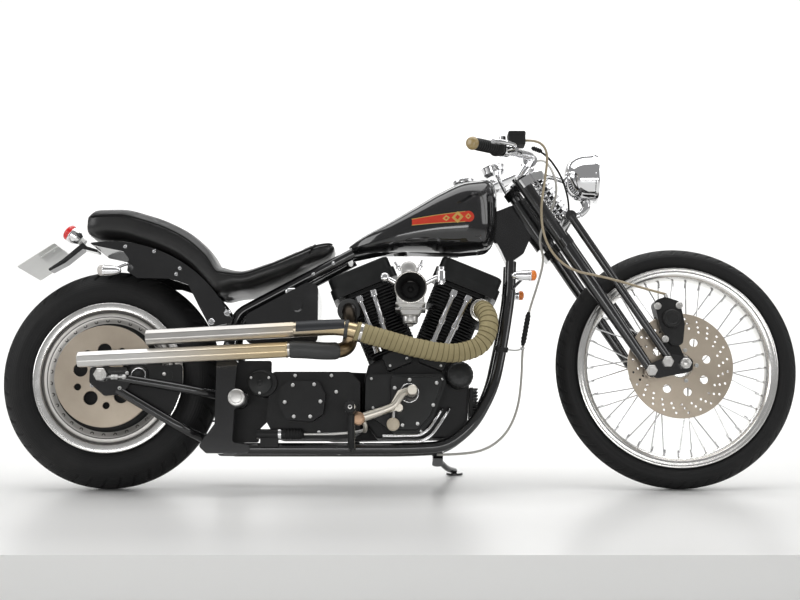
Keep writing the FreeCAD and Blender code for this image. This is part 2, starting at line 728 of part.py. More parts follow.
PORT_Y = -(HEAD_HALF - 6.0) - GAP
FRONT_HEADER = [V(1076.0, PORT_Y, 510.0), V(1076.0, -142.0, 510.0), V(1094.0, -188.0, 468.0),
                V(1080.0, -196.0, 410.0), V(1046.0, -199.0, 383.0), V(984.0, -206.0, 369.0),
                V(890.0, -212.0, 384.0), V(790.0, -219.0, 412.0), V(718.0, -224.0, 432.0)]
UPPER_BARE = [V(722.0, -223.7, 430.9), V(684.0, PIPE_Y, 441.5), V(602.0, PIPE_Y, 438.6), V(540.0, PIPE_Y, 434.7)]
UPPER_MUFFLER = [V(552.0, PIPE_Y, 435.4), V(140.0, PIPE_Y, 413.0)]
REAR_HEADER = [V(694.0, PORT_Y, 510.0), V(694.0, -134.0, 510.0), V(704.0, -160.0, 420.0),
               V(692.0, -196.0, 382.0), V(640.0, -220.0, 375.0), V(560.0, PIPE_Y, 381.0)]
LOWER_MUFFLER = [V(560.0, PIPE_Y, 381.0), V(-46.0, PIPE_Y, 352.0)]


def eight_sided(p, q, r):
    """A straight bar of eight flats between two points, with one flat on top."""
    axis = q - p
    length = axis.Length
    axis.normalize()
    level = axis.cross(UP)
    level.normalize()
    rise = level.cross(axis)
    ring = []
    for i in range(9):
        angle = math.radians(22.5 + 45.0 * i)
        ring.append(p + (level * math.cos(angle) + rise * math.sin(angle)) * (r / math.cos(math.radians(22.5))))
    return Part.Face(Part.Wire(Part.makePolygon(ring))).extrude(axis * length)


def exhaust(header, bare, muffler, header_r):
    """A header bent from its port, a bare stretch of pipe and the eight-sided silencer, open at its end."""
    flange_axis = header[1] - header[0]
    flange_axis.normalize()
    flange = rod(header[0], header[0] + flange_axis * 8.0, header_r + 8.0)
    start, end = muffler
    end_axis = end - start
    end_axis.normalize()
    bore = rod(end - end_axis * 90.0, end + end_axis, PIPE_R - 2.0)
    parts = [pipe(header, header_r), flange, eight_sided(start, end, PIPE_R), rod(start, end, PIPE_R - 1.0)]
    if bare:
        parts.append(pipe(bare, PIPE_R))
    return fused(*parts).cut(bore)


def pipe_cover(points, r, wall):
    """A sheet cover bent over the top and the outer side of a round pipe."""
    cover = pipe(points, r + GAP + wall).cut(pipe(points, r + GAP))
    low = min(point.z for point in points)
    high = max(point.z for point in points)
    back = box(-200.0, 1300.0, PIPE_Y + 14.0, 0.0, low - 80.0, high + 80.0)
    ahead = box(points[1].x + 4.0, 1300.0, PIPE_Y - 80.0, 0.0, low - 80.0, high + 80.0)
    behind = box(-200.0, points[-1].x + 14.0, PIPE_Y - 80.0, 0.0, low - 80.0, high + 80.0)
    below = slab(section([(points[1].x + 60.0, points[1].z - 3.0), (points[-1].x - 60.0, points[-1].z - 12.0),
                          (points[-1].x - 60.0, low - 80.0), (points[1].x + 60.0, low - 80.0)]),
                 PIPE_Y - 60.0, 0.0)
    return cover.cut(Part.makeCompound([back, ahead, behind, below]))


# Two bright oil lines along the foot of the cam cover and up its front edge
OIL_LINE_R = 4.0
OIL_FEED = [V(793.0, -158.0, 146.0), V(846.0, -158.0, 146.0), V(898.0, -158.0, 147.0), V(922.0, -156.0, 164.0),
            V(942.0, -151.0, 194.0), V(962.0, -126.0, 226.0), V(962.0, -CASE_HALF - GAP, 226.0)]
OIL_RETURN = [V(846.0, -162.0, 130.0), V(900.0, -162.0, 130.0), V(926.0, -161.0, 144.0), V(946.0, -158.0, 170.0),
              V(966.0, -150.0, 200.0), V(982.0, -124.0, 226.0), V(982.0, -CASE_HALF - GAP, 226.0)]


# Bodywork

def loft(rows, tip):
    """A skin through hoops given as (x, middle height, half width, half height)."""
    return Part.makeLoft([oval(x, z, half_y, half_z, tip) for x, z, half_y, half_z in rows], True, False)


def fuel_tank():
    """A long teardrop over the backbone, narrow at the seat, with a tunnel below."""
    rows = [(690.0, 703.0, 20.0, 10.0), (730.0, 714.0, 56.0, 25.0), (800.0, 733.0, 92.0, 42.0),
            (880.0, 757.0, 112.0, 65.0), (960.0, 780.0, 122.0, 90.0), (1030.0, 796.0, 120.0, 106.0),
            (1090.0, 804.0, 100.0, 108.0), (1118.0, 812.0, 70.0, 92.0), (1128.0, 818.0, 44.0, 66.0)]
    body = loft(rows, 3.0)
    tunnel = slab(rounded([(640, 600), (640, 696), (1050, 790), (1074, 812), (1240, 880), (1240, 600)], 6.0),
                  -28.0, 28.0)
    flat = box(640.0, 1240.0, -200.0, 200.0, 560.0, 690.0)
    filler = Part.makeCylinder(CAP_NECK_R + GAP, 60.0, V(CAP_X, 0.0, CAP_Z) - CAP_AXIS * (8.0 + GAP), CAP_AXIS)
    return body.cut(Part.makeCompound([tunnel, flat, filler]))


def fuel_cap():
    """A low screwed cap with a ribbed rim, on a short neck in the tank's crown."""
    profile = section([(0.0, -8.0), (CAP_NECK_R, -8.0), (CAP_NECK_R, 3.0), (33.0, 4.5), (33.0, 12.5),
                       (30.0, 15.0), dome(30.0, 15.0, 3.0)])
    return turned(profile, V(CAP_X, 0.0, CAP_Z), CAP_AXIS)


def seat():
    """One low shell seat that turns up behind the rider and runs out over the fender."""
    rows = [(-78.0, 766.0, 74.0, 30.0), (-50.0, 770.0, 92.0, 43.0), (20.0, 769.0, 104.0, 45.0),
            (100.0, 749.0, 110.0, 47.0), (170.0, 723.0, 114.0, 47.0), (230.0, 687.0, 118.0, 50.0),
            (280.0, 641.0, 124.0, 52.0), (320.0, 596.0, 130.0, 42.0), (380.0, 596.0, 136.0, 26.0),
            (460.0, 620.0, 132.0, 26.0), (540.0, 658.0, 112.0, 26.0), (600.0, 690.0, 84.0, 25.0),
            (644.0, 704.0, 62.0, 16.0)]
    body = loft(rows, 3.4)
    wheel_room = Part.makeCylinder(FENDER_R + GAP, 400.0, REAR_AXLE - SIDE * 200.0, SIDE)
    rails = [pipe(seat_rail_points(side), RAIL_R + GAP) for side in (-1.0, 1.0)]
    return body.cut(Part.makeCompound([wheel_room] + rails))


FENDER_END = 98.3            # degrees up from level ahead, round the rear axle, to the sheet's rear edge
FENDER_START = 36.1          # and to its front edge


def round_axle(angle, r):
    """The place (x, z) at a radius round the rear axle, at degrees up from level ahead."""
    return r * math.cos(math.radians(angle)), REAR_AXLE_Z + r * math.sin(math.radians(angle))


def rear_fender():
    """A short curved sheet under the seat's tail, with flat side plates that carry it."""
    ring = Part.makeCylinder(FENDER_R, 2.0 * FENDER_HALF, REAR_AXLE - SIDE * FENDER_HALF, SIDE)
    hollow = Part.makeCylinder(FENDER_R - FENDER_SHEET, 2.0 * FENDER_HALF, REAR_AXLE - SIDE * FENDER_HALF, SIDE)
    wedge = slab(section([(0.0, REAR_AXLE_Z), round_axle(FENDER_END, 1.1 * FENDER_R),
                          round_axle((FENDER_END + FENDER_START) / 2.0, 1.5 * FENDER_R),
                          round_axle(FENDER_START, 1.1 * FENDER_R)]), -FENDER_HALF, FENDER_HALF)
    sheet = ring.cut(hollow).common(wedge)
    plate = rounded([round_axle(FENDER_END, FENDER_R - 6.0), round_axle(96.8, FENDER_R + 33.0),
                     round_axle(74.1, FENDER_R + 46.0), round_axle(48.7, FENDER_R + 63.0),
                     round_axle(27.7, FENDER_R + 42.0), round_axle(23.4, FENDER_R - 9.0), (296, 458),
                     (262, 520), (230, 582), (176, 600), (82, 602), (52, 622), (56, 658), (40, 680),
                     round_axle(91.5, FENDER_R - 20.0)], 7.0)
    plates = [slab(plate, side * (FENDER_HALF - 6.0), side * FENDER_HALF) for side in (-1.0, 1.0)]
    plates = [sheet_side.common(ring) for sheet_side in plates]
    return fused(sheet, *plates)


def dome(r, base, height):
    """The arc, centred on the axis, from the radius r at the base up to the axis."""
    sphere_r = (r * r + height * height) / (2.0 * height)
    half = math.asin(r / sphere_r) / 2.0
    middle = (sphere_r * math.sin(half), base + height - sphere_r + sphere_r * math.cos(half))
    return middle, (0.0, base + height)


def bullet(centre, forward, r, length):
    """A small lamp: a blunt shell with a lens at its open end."""
    shell = section([(0.0, -length), ((r * 0.62, -length * 0.86), (r, -length * 0.35)), (r, 0.0), (0.0, 0.0)])
    return turned(shell, centre, forward)


def rear_signal(side):
    centre = V(-17.0, side * 170.0, 612.0)
    lamp = bullet(centre, V(-1.0, 0.0, 0.0), 16.0, 68.0)
    stalk = pipe([V(18.0, side * 160.0, 613.0), V(62.0, side * 136.0, 640.0),
                  V(62.0, side * (FENDER_HALF + GAP), 640.0)], 6.0)
    return fused(lamp, stalk)


def front_signal(side):
    centre = V(1228.0, side * 178.0, 596.0)
    lamp = bullet(centre, V(1.0, 0.0, 0.0), 16.0, 72.0)
    stalk = rod(V(1196.0, side * 168.0, 596.0), V(1172.0, side * (48.0 + RAIL_R + 1.0), 580.0), 6.0)
    return fused(lamp, stalk)


FENDER_TAIL = V(-56.0, 0.0, round_axle(FENDER_END, FENDER_R)[1])
TAIL_LAMP = FENDER_TAIL + V(-94.0, 0.0, 54.0)
TAIL_DEPTH = 46.0
LOOK_BACK = V(-0.8, 0.0, 0.6)


def tail_lamp():
    """A round lamp that looks back and up from its bracket."""
    return turned(section([(0.0, -TAIL_DEPTH), (14.0, -TAIL_DEPTH + 2.0), (24.0, -22.0), (26.0, 0.0),
                           dome(26.0, 0.0, 10.0)]), TAIL_LAMP, LOOK_BACK)


PLATE_TOP = FENDER_TAIL + V(-102.0, 0.0, -4.0)
PLATE_LOW = FENDER_TAIL + V(-206.0, 0.0, -74.0)
PLATE_HALF = 115.0
PLATE_BOLT_Y = 70.0
PLATE_BOLT_R = 3.5


def plate_frame():
    """Unit vectors down the number plate and out of its face."""
    down = PLATE_LOW - PLATE_TOP
    down.normalize()
    face = V(down.z, 0.0, -down.x)
    if face.x > 0.0:
        face = face * -1.0
    return down, face


def number_plate():
    """The plain sheet plate with its two bolt holes."""
    down, face = plate_frame()
    corners = [PLATE_TOP - SIDE * PLATE_HALF, PLATE_TOP + SIDE * PLATE_HALF,
               PLATE_LOW + SIDE * PLATE_HALF, PLATE_LOW - SIDE * PLATE_HALF]
    arcs = [corner(corners[i - 1], corners[i], corners[(i + 1) % 4], 8.0) for i in range(4)]
    edges = []
    for i in range(4):
        edges.append(Part.Arc(*arcs[i]).toShape())
        edges.append(Part.LineSegment(arcs[i][2], arcs[(i + 1) % 4][0]).toShape())
    sheet = Part.Face(Part.Wire(edges)).extrude(face * 2.0)
    for side in (-1.0, 1.0):
        at = PLATE_TOP + down * 18.0 + SIDE * (side * PLATE_BOLT_Y) - face * 10.0
        sheet = sheet.cut(rod(at, at + face * 30.0, PLATE_BOLT_R))
    return sheet


def plate_bracket():
    """A flat arm from the fender's rear end to the back of the plate and up to the tail lamp."""
    down, face = plate_frame()
    outline = [(0, -4), (-32, 6), (-44, 16), (-52, 12), (-104, -34), (-144, -62), (-140, -69), (-94, -44),
               (-44, -2), (0, -13)]
    arm = slab(rounded([(FENDER_TAIL.x + x, FENDER_TAIL.z + z) for x, z in outline], 2.5), -22.0, 22.0)
    lamp_back = TAIL_LAMP - LOOK_BACK * (TAIL_DEPTH + GAP)
    arm = fused(arm, rod(lamp_back, lamp_back - LOOK_BACK * 14.0, 12.0))
    back = PLATE_TOP - face * (4.0 + GAP)
    tab = Part.Face(Part.Wire(Part.makePolygon([
        back - SIDE * 85.0, back + SIDE * 85.0, back + SIDE * 85.0 + down * 60.0,
        back - SIDE * 85.0 + down * 60.0, back - SIDE * 85.0]))).extrude(face * 4.0)
    for side in (-1.0, 1.0):
        at = PLATE_TOP + down * 18.0 + SIDE * (side * PLATE_BOLT_Y) - face * 20.0
        tab = tab.cut(rod(at, at + face * 30.0, PLATE_BOLT_R))
    return arm, tab


# Fork and handlebar

def rigid_leg(side):
    """The fork's rear leg, thickest at the crown, with an eye at its foot."""
    y = side * LEG_Y
    top = clamp_point(CROWN_Z, LEG_AHEAD, y, CROWN_THICK / 2.0 + 6.0)
    middle = fork_point(620.0, LEG_AHEAD, y)
    foot = fork_point(FORK_LOW_Z, LEG_AHEAD, y)
    eye = rod(foot - SIDE * 14.0, foot + SIDE * 14.0, 19.0)
    leg = fused(rod(middle, top, LEG_R), rod(middle, foot, LEG_R, 13.0), eye)
    return leg.cut(rod(foot - SIDE * 30.0, foot + SIDE * 30.0, PIN_R + GAP))


def spring_fork():
    """The fork's front pair of legs, joined by the bridge under the springs, with the two spring rods."""
    parts = [rod(fork_point(SPRING_BRIDGE_Z, SPRING_AHEAD, -LEG_Y - 8.0),
                 fork_point(SPRING_BRIDGE_Z, SPRING_AHEAD, LEG_Y + 8.0), 16.0)]
    for side in (-1.0, 1.0):
        foot = fork_point(SPRING_LOW_Z, SPRING_AHEAD, side * LEG_Y)
        parts.append(rod(fork_point(SPRING_BRIDGE_Z, SPRING_AHEAD, side * LEG_Y), foot, SPRING_LEG_R))
        parts.append(rod(foot - SIDE * 12.0, foot + SIDE * 12.0, 17.0))
        top = clamp_point(CROWN_Z, SPRING_AHEAD, side * COIL_Y, CROWN_THICK / 2.0 + 16.0)
        parts.append(rod(fork_point(SPRING_BRIDGE_Z, SPRING_AHEAD, side * COIL_Y), top, SPRING_ROD_R))
    pins = [rod(fork_point(SPRING_LOW_Z, SPRING_AHEAD, side * LEG_Y - 30.0),
                fork_point(SPRING_LOW_Z, SPRING_AHEAD, side * LEG_Y + 30.0), PIN_R + GAP) for side in (-1.0, 1.0)]
    return fused(*parts).cut(Part.makeCompound(pins))


def coil_spring(side):
    """A coil of round wire round each spring rod, between the bridge and the top clamp."""
    high = clamp_point(CROWN_Z, SPRING_AHEAD, side * COIL_Y, -CROWN_THICK / 2.0 - COIL_WIRE_R - GAP)
    low = fork_point(SPRING_BRIDGE_Z, SPRING_AHEAD, side * COIL_Y) + STEER_AXIS * (16.0 + COIL_WIRE_R + GAP)
    length = (high - low).Length
    helix = Part.makeHelix(length / 7.0, length, COIL_R)
    ring = Part.Wire(Part.makeCircle(COIL_WIRE_R, V(COIL_R, 0.0, 0.0), V(0.0, 1.0, 0.0)))
    coil = Part.Wire(helix).makePipeShell([ring], True, True)
    coil.Placement = FreeCAD.Placement(low, FreeCAD.Rotation(V(0, 0, 1), high - low))
    return coil


def clamp_plate(z, thick, front):
    """A forged plate square to the steering axis: wide at the legs, narrow behind and ahead of them."""
    outline = [(-26, -28), (-26, 28), (20, LEG_Y + 27), (LEG_AHEAD + 26, LEG_Y + 27), (front + 18, 52),
               (front + 18, -52), (LEG_AHEAD + 26, -LEG_Y - 27), (20, -LEG_Y - 27)]
    corners = [clamp_point(z, ahead, y, -thick / 2.0) for ahead, y in outline]
    count = len(corners)
    arcs = [corner(corners[i - 1], corners[i], corners[(i + 1) % count], 16.0) for i in range(count)]
    edges = []
    for i in range(count):
        edges.append(Part.Arc(*arcs[i]).toShape())
        edges.append(Part.LineSegment(arcs[i][2], arcs[(i + 1) % count][0]).toShape())
    return Part.Face(Part.Wire(edges)).extrude(STEER_AXIS * thick)


def fork_crown():
    """The two clamps that hold the rigid legs, and the stem between them."""
    upper = clamp_plate(CROWN_Z, CROWN_THICK, SPRING_AHEAD)
    lower = clamp_plate(LOWER_CROWN_Z, CROWN_THICK, LEG_AHEAD)
    stem = rod(fork_point(LOWER_CROWN_Z, 0.0), fork_point(CROWN_Z, 0.0), STEM_R - 1.0)
    holes = []
    for side in (-1.0, 1.0):
        holes.append(rod(fork_point(500.0, LEG_AHEAD, side * LEG_Y), fork_point(1000.0, LEG_AHEAD, side * LEG_Y),
                         LEG_R + GAP))
        holes.append(rod(fork_point(780.0, SPRING_AHEAD, side * COIL_Y),
                         fork_point(1000.0, SPRING_AHEAD, side * COIL_Y), SPRING_ROD_R + GAP))
    return fused(stem, upper, lower).cut(Part.makeCompound(holes))


def rockers():
    """The short links at the fork's feet that hold the front axle."""
    rigid = fork_point(FORK_LOW_Z, LEG_AHEAD)
    spring = fork_point(SPRING_LOW_Z, SPRING_AHEAD)
    plates = []
    for side in (-1.0, 1.0):
        y0 = side * (LEG_Y + 15.0)
        y1 = side * (LEG_Y + 25.0)
        outline = rounded([(rigid.x - 22, rigid.z + 14), (spring.x, spring.z + 22),
                           (WHEELBASE + 24, FRONT_AXLE_Z + 14), (WHEELBASE + 20, FRONT_AXLE_Z - 22),
                           (rigid.x + 4, rigid.z - 24)], 14.0)
        body = slab(outline, y0, y1)
        pins = [rod(V(p.x, side * (LEG_Y - 15.0), p.z), V(p.x, y1 + side * 6.0, p.z), PIN_R)
                for p in (rigid, spring)]
        link = fused(body, *pins)
        plates.append(link.cut(rod(V(WHEELBASE, -200.0, FRONT_AXLE_Z), V(WHEELBASE, 200.0, FRONT_AXLE_Z),
                                   AXLE_R + GAP)))
    return plates


def front_axle():
    reach = LEG_Y + 38.0
    shaft = rod(FRONT_AXLE - SIDE * reach, FRONT_AXLE + SIDE * reach, AXLE_R)
    parts = [shaft]
    for side in (-1.0, 1.0):
        outer = side * (LEG_Y + 25.0 + GAP)
        parts.append(rod(FRONT_AXLE + SIDE * outer, FRONT_AXLE + SIDE * (outer + side * 10.0), 15.0))
    inner = LEG_Y + 15.0 - GAP
    parts.append(rod(FRONT_AXLE - SIDE * inner, FRONT_AXLE + SIDE * (FRONT_DISC_Y - DISC_HALF - 8.0), 15.0))
    parts.append(rod(FRONT_AXLE + SIDE * (HUB_HALF + 1.0), FRONT_AXLE + SIDE * inner, 15.0))
    return fused(*parts)


def handlebar():
    """A low bar that sweeps back to the grips, on two risers."""
    ex, ey, ez = GRIP_END
    rx, ry, rz = GRIP_ROOT
    along = V(ex - rx, ey - ry, ez - rz)
    along.normalize()
    elbow = V(rx, ry, rz) - along * 92.0
    left = pipe([V(BAR_X, 0.0, BAR_Z), V(BAR_X, 96.0, BAR_Z), elbow, V(ex, ey, ez)], BAR_R, 60.0)
    right = mirrored(left)
    risers = []
    for side in (-1.0, 1.0):
        base = clamp_point(CROWN_Z, 34.0, side * RISER_Y, CROWN_THICK / 2.0 + GAP)
        foot = rod(base, base + STEER_AXIS * 24.0, 17.0)
        risers += [foot, rod(base + STEER_AXIS * 16.0, V(BAR_X, side * RISER_Y, BAR_Z), 14.0),
                   rod(V(BAR_X, side * (RISER_Y - 16.0), BAR_Z), V(BAR_X, side * (RISER_Y + 16.0), BAR_Z), 21.0)]
    return fused(left, right, *risers)


def grip(side):
    """A soft grip over the bar's end, with its round end cap."""
    ex, ey, ez = GRIP_END
    rx, ry, rz = GRIP_ROOT
    end = V(ex, side * ey, ez)
    root = V(rx, side * ry, rz)
    along = end - root
    along.normalize()
    profile = section([(0.0, 3.0), (0.0, 16.0), (15.0, 14.0), (19.0, 4.0), (GRIP_R, -8.0), (GRIP_R, -116.0),
                       (23.0, -117.0), (23.0, -124.0), (BAR_R + GAP, -124.0), (BAR_R + GAP, 3.0)])
    return turned(profile, end, along)


def hand_control(side):
    """Perch round the bar, fluid box on the right, and the lever that follows the grip."""
    ex, ey, ez = GRIP_END
    rx, ry, rz = GRIP_ROOT
    root = V(rx, side * ry, rz)
    along = V(ex - rx, side * (ey - ry), ez - rz)
    along.normalize()
    middle = root - along * 26.0
    forward = along.cross(UP) * side
    clamp = rod(middle - along * 14.0, middle + along * 14.0, 21.0)
    boss = rod(middle, middle + forward * 44.0, 13.0)
    lever = pipe([middle + forward * 34.0, middle + forward * 60.0 + along * 30.0,
                  middle + forward * 64.0 + along * 92.0,
                  middle + forward * 60.0 + along * 150.0 - UP * 4.0], 6.5)
    parts = [clamp, boss, lever]
    if side < 0.0:
        parts.append(softened(box(middle.x + 13.0, middle.x + 61.0, middle.y - 36.0, middle.y + 12.0,
                                  middle.z + 6.0, middle.z + 46.0), 4.0, lambda edge: True))
    perch = middle - forward * 2.0
    parts.append(rod(perch, perch + UP * MIRROR_BOSS, 10.0))
    whole = fused(*parts)
    bar_line = rod(root + along * 40.0, root - along * 96.0, BAR_R + GAP)
    thread = rod(perch + UP * (MIRROR_BOSS - MIRROR_DEPTH), perch + UP * MIRROR_BOSS, MIRROR_R)
    return whole.cut(Part.makeCompound([bar_line, thread]))


def headlamp():
    """A round bowl on a short stem from the top clamp."""
    bowl = section([(0.0, -100.0), (16.0, -98.0), ((54.0, -76.0), (LAMP_R - 4.0, -26.0)), (LAMP_R - 2.0, -10.0),
                    (LAMP_R, -8.0), (LAMP_R, 0.0), dome(LAMP_R, 0.0, 10.0)])
    lamp = turned(bowl, V(LAMP_X - 6.0, 0.0, LAMP_Z), V(1.0, 0.0, 0.0))
    start = clamp_point(CROWN_Z, SPRING_AHEAD + 18.0 + GAP, 0.0, 0.0)
    stem = pipe([start, start + FORK_AHEAD * 14.0, V(LAMP_X - 70.0, 0.0, LAMP_Z - 10.0)], 9.0)
    return fused(lamp, stem)


def speedometer():
    """A small round clock on an arm from the top clamp."""
    clock = turned(section([(0.0, -30.0), (24.0, -28.0), (33.0, -18.0), (36.0, 0.0), (37.5, 2.0), (34.0, 4.0),
                            (0.0, 4.0)]), V(1120.0, 0.0, 956.0), V(-0.25, 0.0, 0.968))
    arm = rod(V(1132.0, 0.0, 936.0), clamp_point(CROWN_Z, -10.0, 0.0, CROWN_THICK / 2.0 + 3.0), 6.0)
    return fused(clock, arm)


def caliper_front():
    """The front caliper, open over the disc, on a bracket to the rocker."""
    outline = rounded([(1572, 536), (1606, 548), (1648, 534), (1660, 470), (1652, 408), (1622, 404), (1590, 456)],
                      16.0)
    body = slab(outline, FRONT_DISC_Y - 34.0, FRONT_DISC_Y + 18.0)
    slot = Part.makeCylinder(FRONT_DISC_R + RUN, 2.0 * (DISC_HALF + RUN),
                             FRONT_AXLE + SIDE * (FRONT_DISC_Y - DISC_HALF - RUN), SIDE)
    bracket = slab(rounded([(1590, 420), (1640, 420), (1668, 352), (1650, 334), (1628, 340)], 8.0),
                   FRONT_DISC_Y - 19.0, FRONT_DISC_Y - 10.0)
    boss = rod(V(1622.0, FRONT_DISC_Y - 33.0, 484.0), V(1622.0, FRONT_DISC_Y - 44.0, 484.0), 27.0)
    whole = fused(body.cut(slot), bracket, boss)
    return whole.cut(rod(FRONT_AXLE - SIDE * 200.0, FRONT_AXLE + SIDE * 200.0, 15.0 + GAP))


def caliper_rear():
    """The rear caliper on its carrier behind the exhaust."""
    outline = rounded([(74, 348), (150, 354), (196, 330), (196, 300), (150, 290), (80, 292)], 12.0)
    body = slab(outline, REAR_DISC_Y - 22.0, REAR_DISC_Y + 18.0)
    slot = Part.makeCylinder(REAR_DISC_R + RUN, 2.0 * (DISC_HALF + RUN),
                             REAR_AXLE + SIDE * (REAR_DISC_Y - DISC_HALF - RUN), SIDE)
    return body.cut(slot)


# Controls on the frame

def footpeg(side):
    """A round peg on a stub, outside the bottom rail."""
    x = 707.0
    z = PEG_Z
    stub = pipe([V(x, side * (RAIL_Y + RAIL_R + GAP), RAIL_Z), V(x, side * 196.0, RAIL_Z + 6.0),
                 V(x, side * 204.0, z)], 10.0, 26.0)
    peg = rod(V(x, side * 196.0, z), V(x, side * PEG_OUT, z), 14.0)
    return fused(stub, peg)


def brake_pedal():
    """A light alloy lever from its pivot by the cam cover back to the master cylinder rod."""
    arm = slab(rounded([(884, 262), (846, 262), (830, 214), (724, 182), (720, 196), (812, 228), (836, 270),
                        (872, 282)], 5.0), -190.0, -180.0)
    pad = rod(V(874.0, -176.0, 266.0), V(874.0, -262.0, 266.0), 12.0)
    pivot = rod(V(838.0, CAM_Y - GAP, 222.0), V(838.0, -196.0, 222.0), 11.0)
    return fused(arm, pad, pivot)


def shift_lever():
    """The gear lever on the left, ahead of the left peg."""
    arm = slab(rounded([(838, 214), (828, 230), (900, 262), (962, 268), (962, 256), (904, 250)], 5.0), 196.0, 206.0)
    pad = rod(V(954.0, 200.0, 262.0), V(954.0, 268.0, 262.0), 11.0)
    pivot = rod(V(838.0, STATOR_FACE + GAP, 222.0), V(838.0, 212.0, 222.0), 10.0)
    return fused(arm, pad, pivot)


def master_cylinder():
    """The rear brake's pump along the right rail, with its ribbed boot and its rod."""
    y = -RAIL_Y - 16.0
    z = 152.0
    parts = [rod(V(440.0, y, z), V(520.0, y, z), 14.0), rod(V(660.0, y, z), V(560.0, y, z), 4.0)]
    for i in range(6):
        parts.append(rod(V(518.0 + 8.0 * i, y, z), V(524.0 + 8.0 * i, y, z), 13.0 - i))
    parts.append(rod(V(516.0, y, z), V(566.0, y, z), 8.0))
    foot = box(450.0, 500.0, y - 8.0, y + 8.0, RAIL_Z + 4.0, z)
    rail = rod(V(430.0, -RAIL_Y, RAIL_Z), V(520.0, -RAIL_Y, RAIL_Z), RAIL_R + GAP)
    return fused(foot, *parts).cut(rail)


def drive_belt():
    """The toothed belt from the gearbox to the rear wheel, as one closed loop."""
    front = V(FRONT_PULLEY_X, 0.0, FRONT_PULLEY_Z)
    small = FRONT_PULLEY_R + GAP
    gap_r = PULLEY_R + GAP
    big = REAR_AXLE
    between = front - big
    reach = between.Length
    lean = math.asin((gap_r - small) / reach)
    base = math.atan2(between.z, between.x)
    wires = []
    for extra in (0.0, 4.0):
        up = base + math.pi / 2.0 - lean
        down = base - math.pi / 2.0 + lean
        big_r = gap_r + extra
        small_r = small + extra

        def spot(centre, r, angle):
            return (centre.x + r * math.cos(angle), centre.z + r * math.sin(angle))

        wires.append(section([
            spot(big, big_r, up),
            (spot(big, big_r, base + math.pi), spot(big, big_r, down)),
            spot(front, small_r, down),
            (spot(front, small_r, base), spot(front, small_r, up)),
        ]))
    y0 = PULLEY_Y - BELT_HALF + 1.0
    y1 = PULLEY_Y + BELT_HALF - 1.0
    return slab(wires[1], y0, y1).cut(slab(wires[0], y0, y1))


def front_pulley():
    at = V(FRONT_PULLEY_X, 0.0, FRONT_PULLEY_Z)
    wheel = rod(at + SIDE * (PULLEY_Y - BELT_HALF), at + SIDE * (PULLEY_Y + BELT_HALF), FRONT_PULLEY_R)
    return fused(wheel, rod(at + SIDE * (CASE_HALF + GAP), at + SIDE * PULLEY_Y, 14.0))


def stand_foot():
    """Where the stand's foot meets the ground of the leaned machine."""
    z = (STAND_FOOT_Y * SIN_LEAN - LIFT) / COS_LEAN
    return V(STAND_FOOT_X, STAND_FOOT_Y, z)


def stand_axis():
    """The stand's pivot: its tilt lets the leg fold back level along the rail."""
    pivot = V(*STAND_PIVOT)
    out = stand_foot() - pivot
    out.normalize()
    folded = V(-1.0, 0.12, 0.02)
    folded.normalize()
    change = out - folded
    tilt = math.atan2(-change.z, change.y)
    return V(0.0, math.sin(tilt), math.cos(tilt))


def side_stand():
    """A round leg with a flat foot, swung out to the left and forward."""
    pivot = V(*STAND_PIVOT)
    foot = stand_foot()
    axis = stand_axis()
    up = V(0.0, -SIN_LEAN, COS_LEAN)
    pad = Part.makeCylinder(26.0, 7.0, foot, up)
    knee = pivot + (foot - pivot) * 0.55 - axis * 3.0
    leg = pipe([pivot, knee, foot + up * 12.0], 9.0)
    eye = Part.makeCylinder(16.0, 2.0 * STAND_EYE_HALF, pivot - axis * STAND_EYE_HALF, axis)
    ground = Part.makeCylinder(60.0, 40.0, foot, up * -1.0)
    bore = Part.makeCylinder(STAND_PIN_R, 60.0, pivot - axis * 30.0, axis)
    return fused(pad, leg, eye).cut(Part.makeCompound([ground, bore]))


def stand_bracket():
    """Two ears from the left rail round the stand's eye, with its pin between them."""
    pivot = V(*STAND_PIVOT)
    axis = stand_axis()
    wide = STAND_EYE_HALF + 0.5
    parts = [Part.makeCylinder(STAND_PIN_R - 0.1, 2.0 * (wide + 6.0), V(0.0, 0.0, -wide - 6.0), UP)]
    for low in (wide, -wide - 6.0):
        parts.append(Part.makeCylinder(17.0, 6.0, V(0.0, 0.0, low), UP))
        parts.append(box(-15.0, 15.0, -44.0, 0.0, low, low + 6.0))
    parts.append(box(-15.0, 15.0, -44.0, -26.0, -wide - 6.0, wide + 6.0))
    whole = fused(*parts)
    whole.Placement = FreeCAD.Placement(pivot, FreeCAD.Rotation(V(1.0, 0.0, 0.0), axis.cross(V(1.0, 0.0, 0.0)), axis,
                                                                "ZXY"))
    return whole.cut(pipe(cradle_points(1.0), RAIL_R + GAP))


# Cords

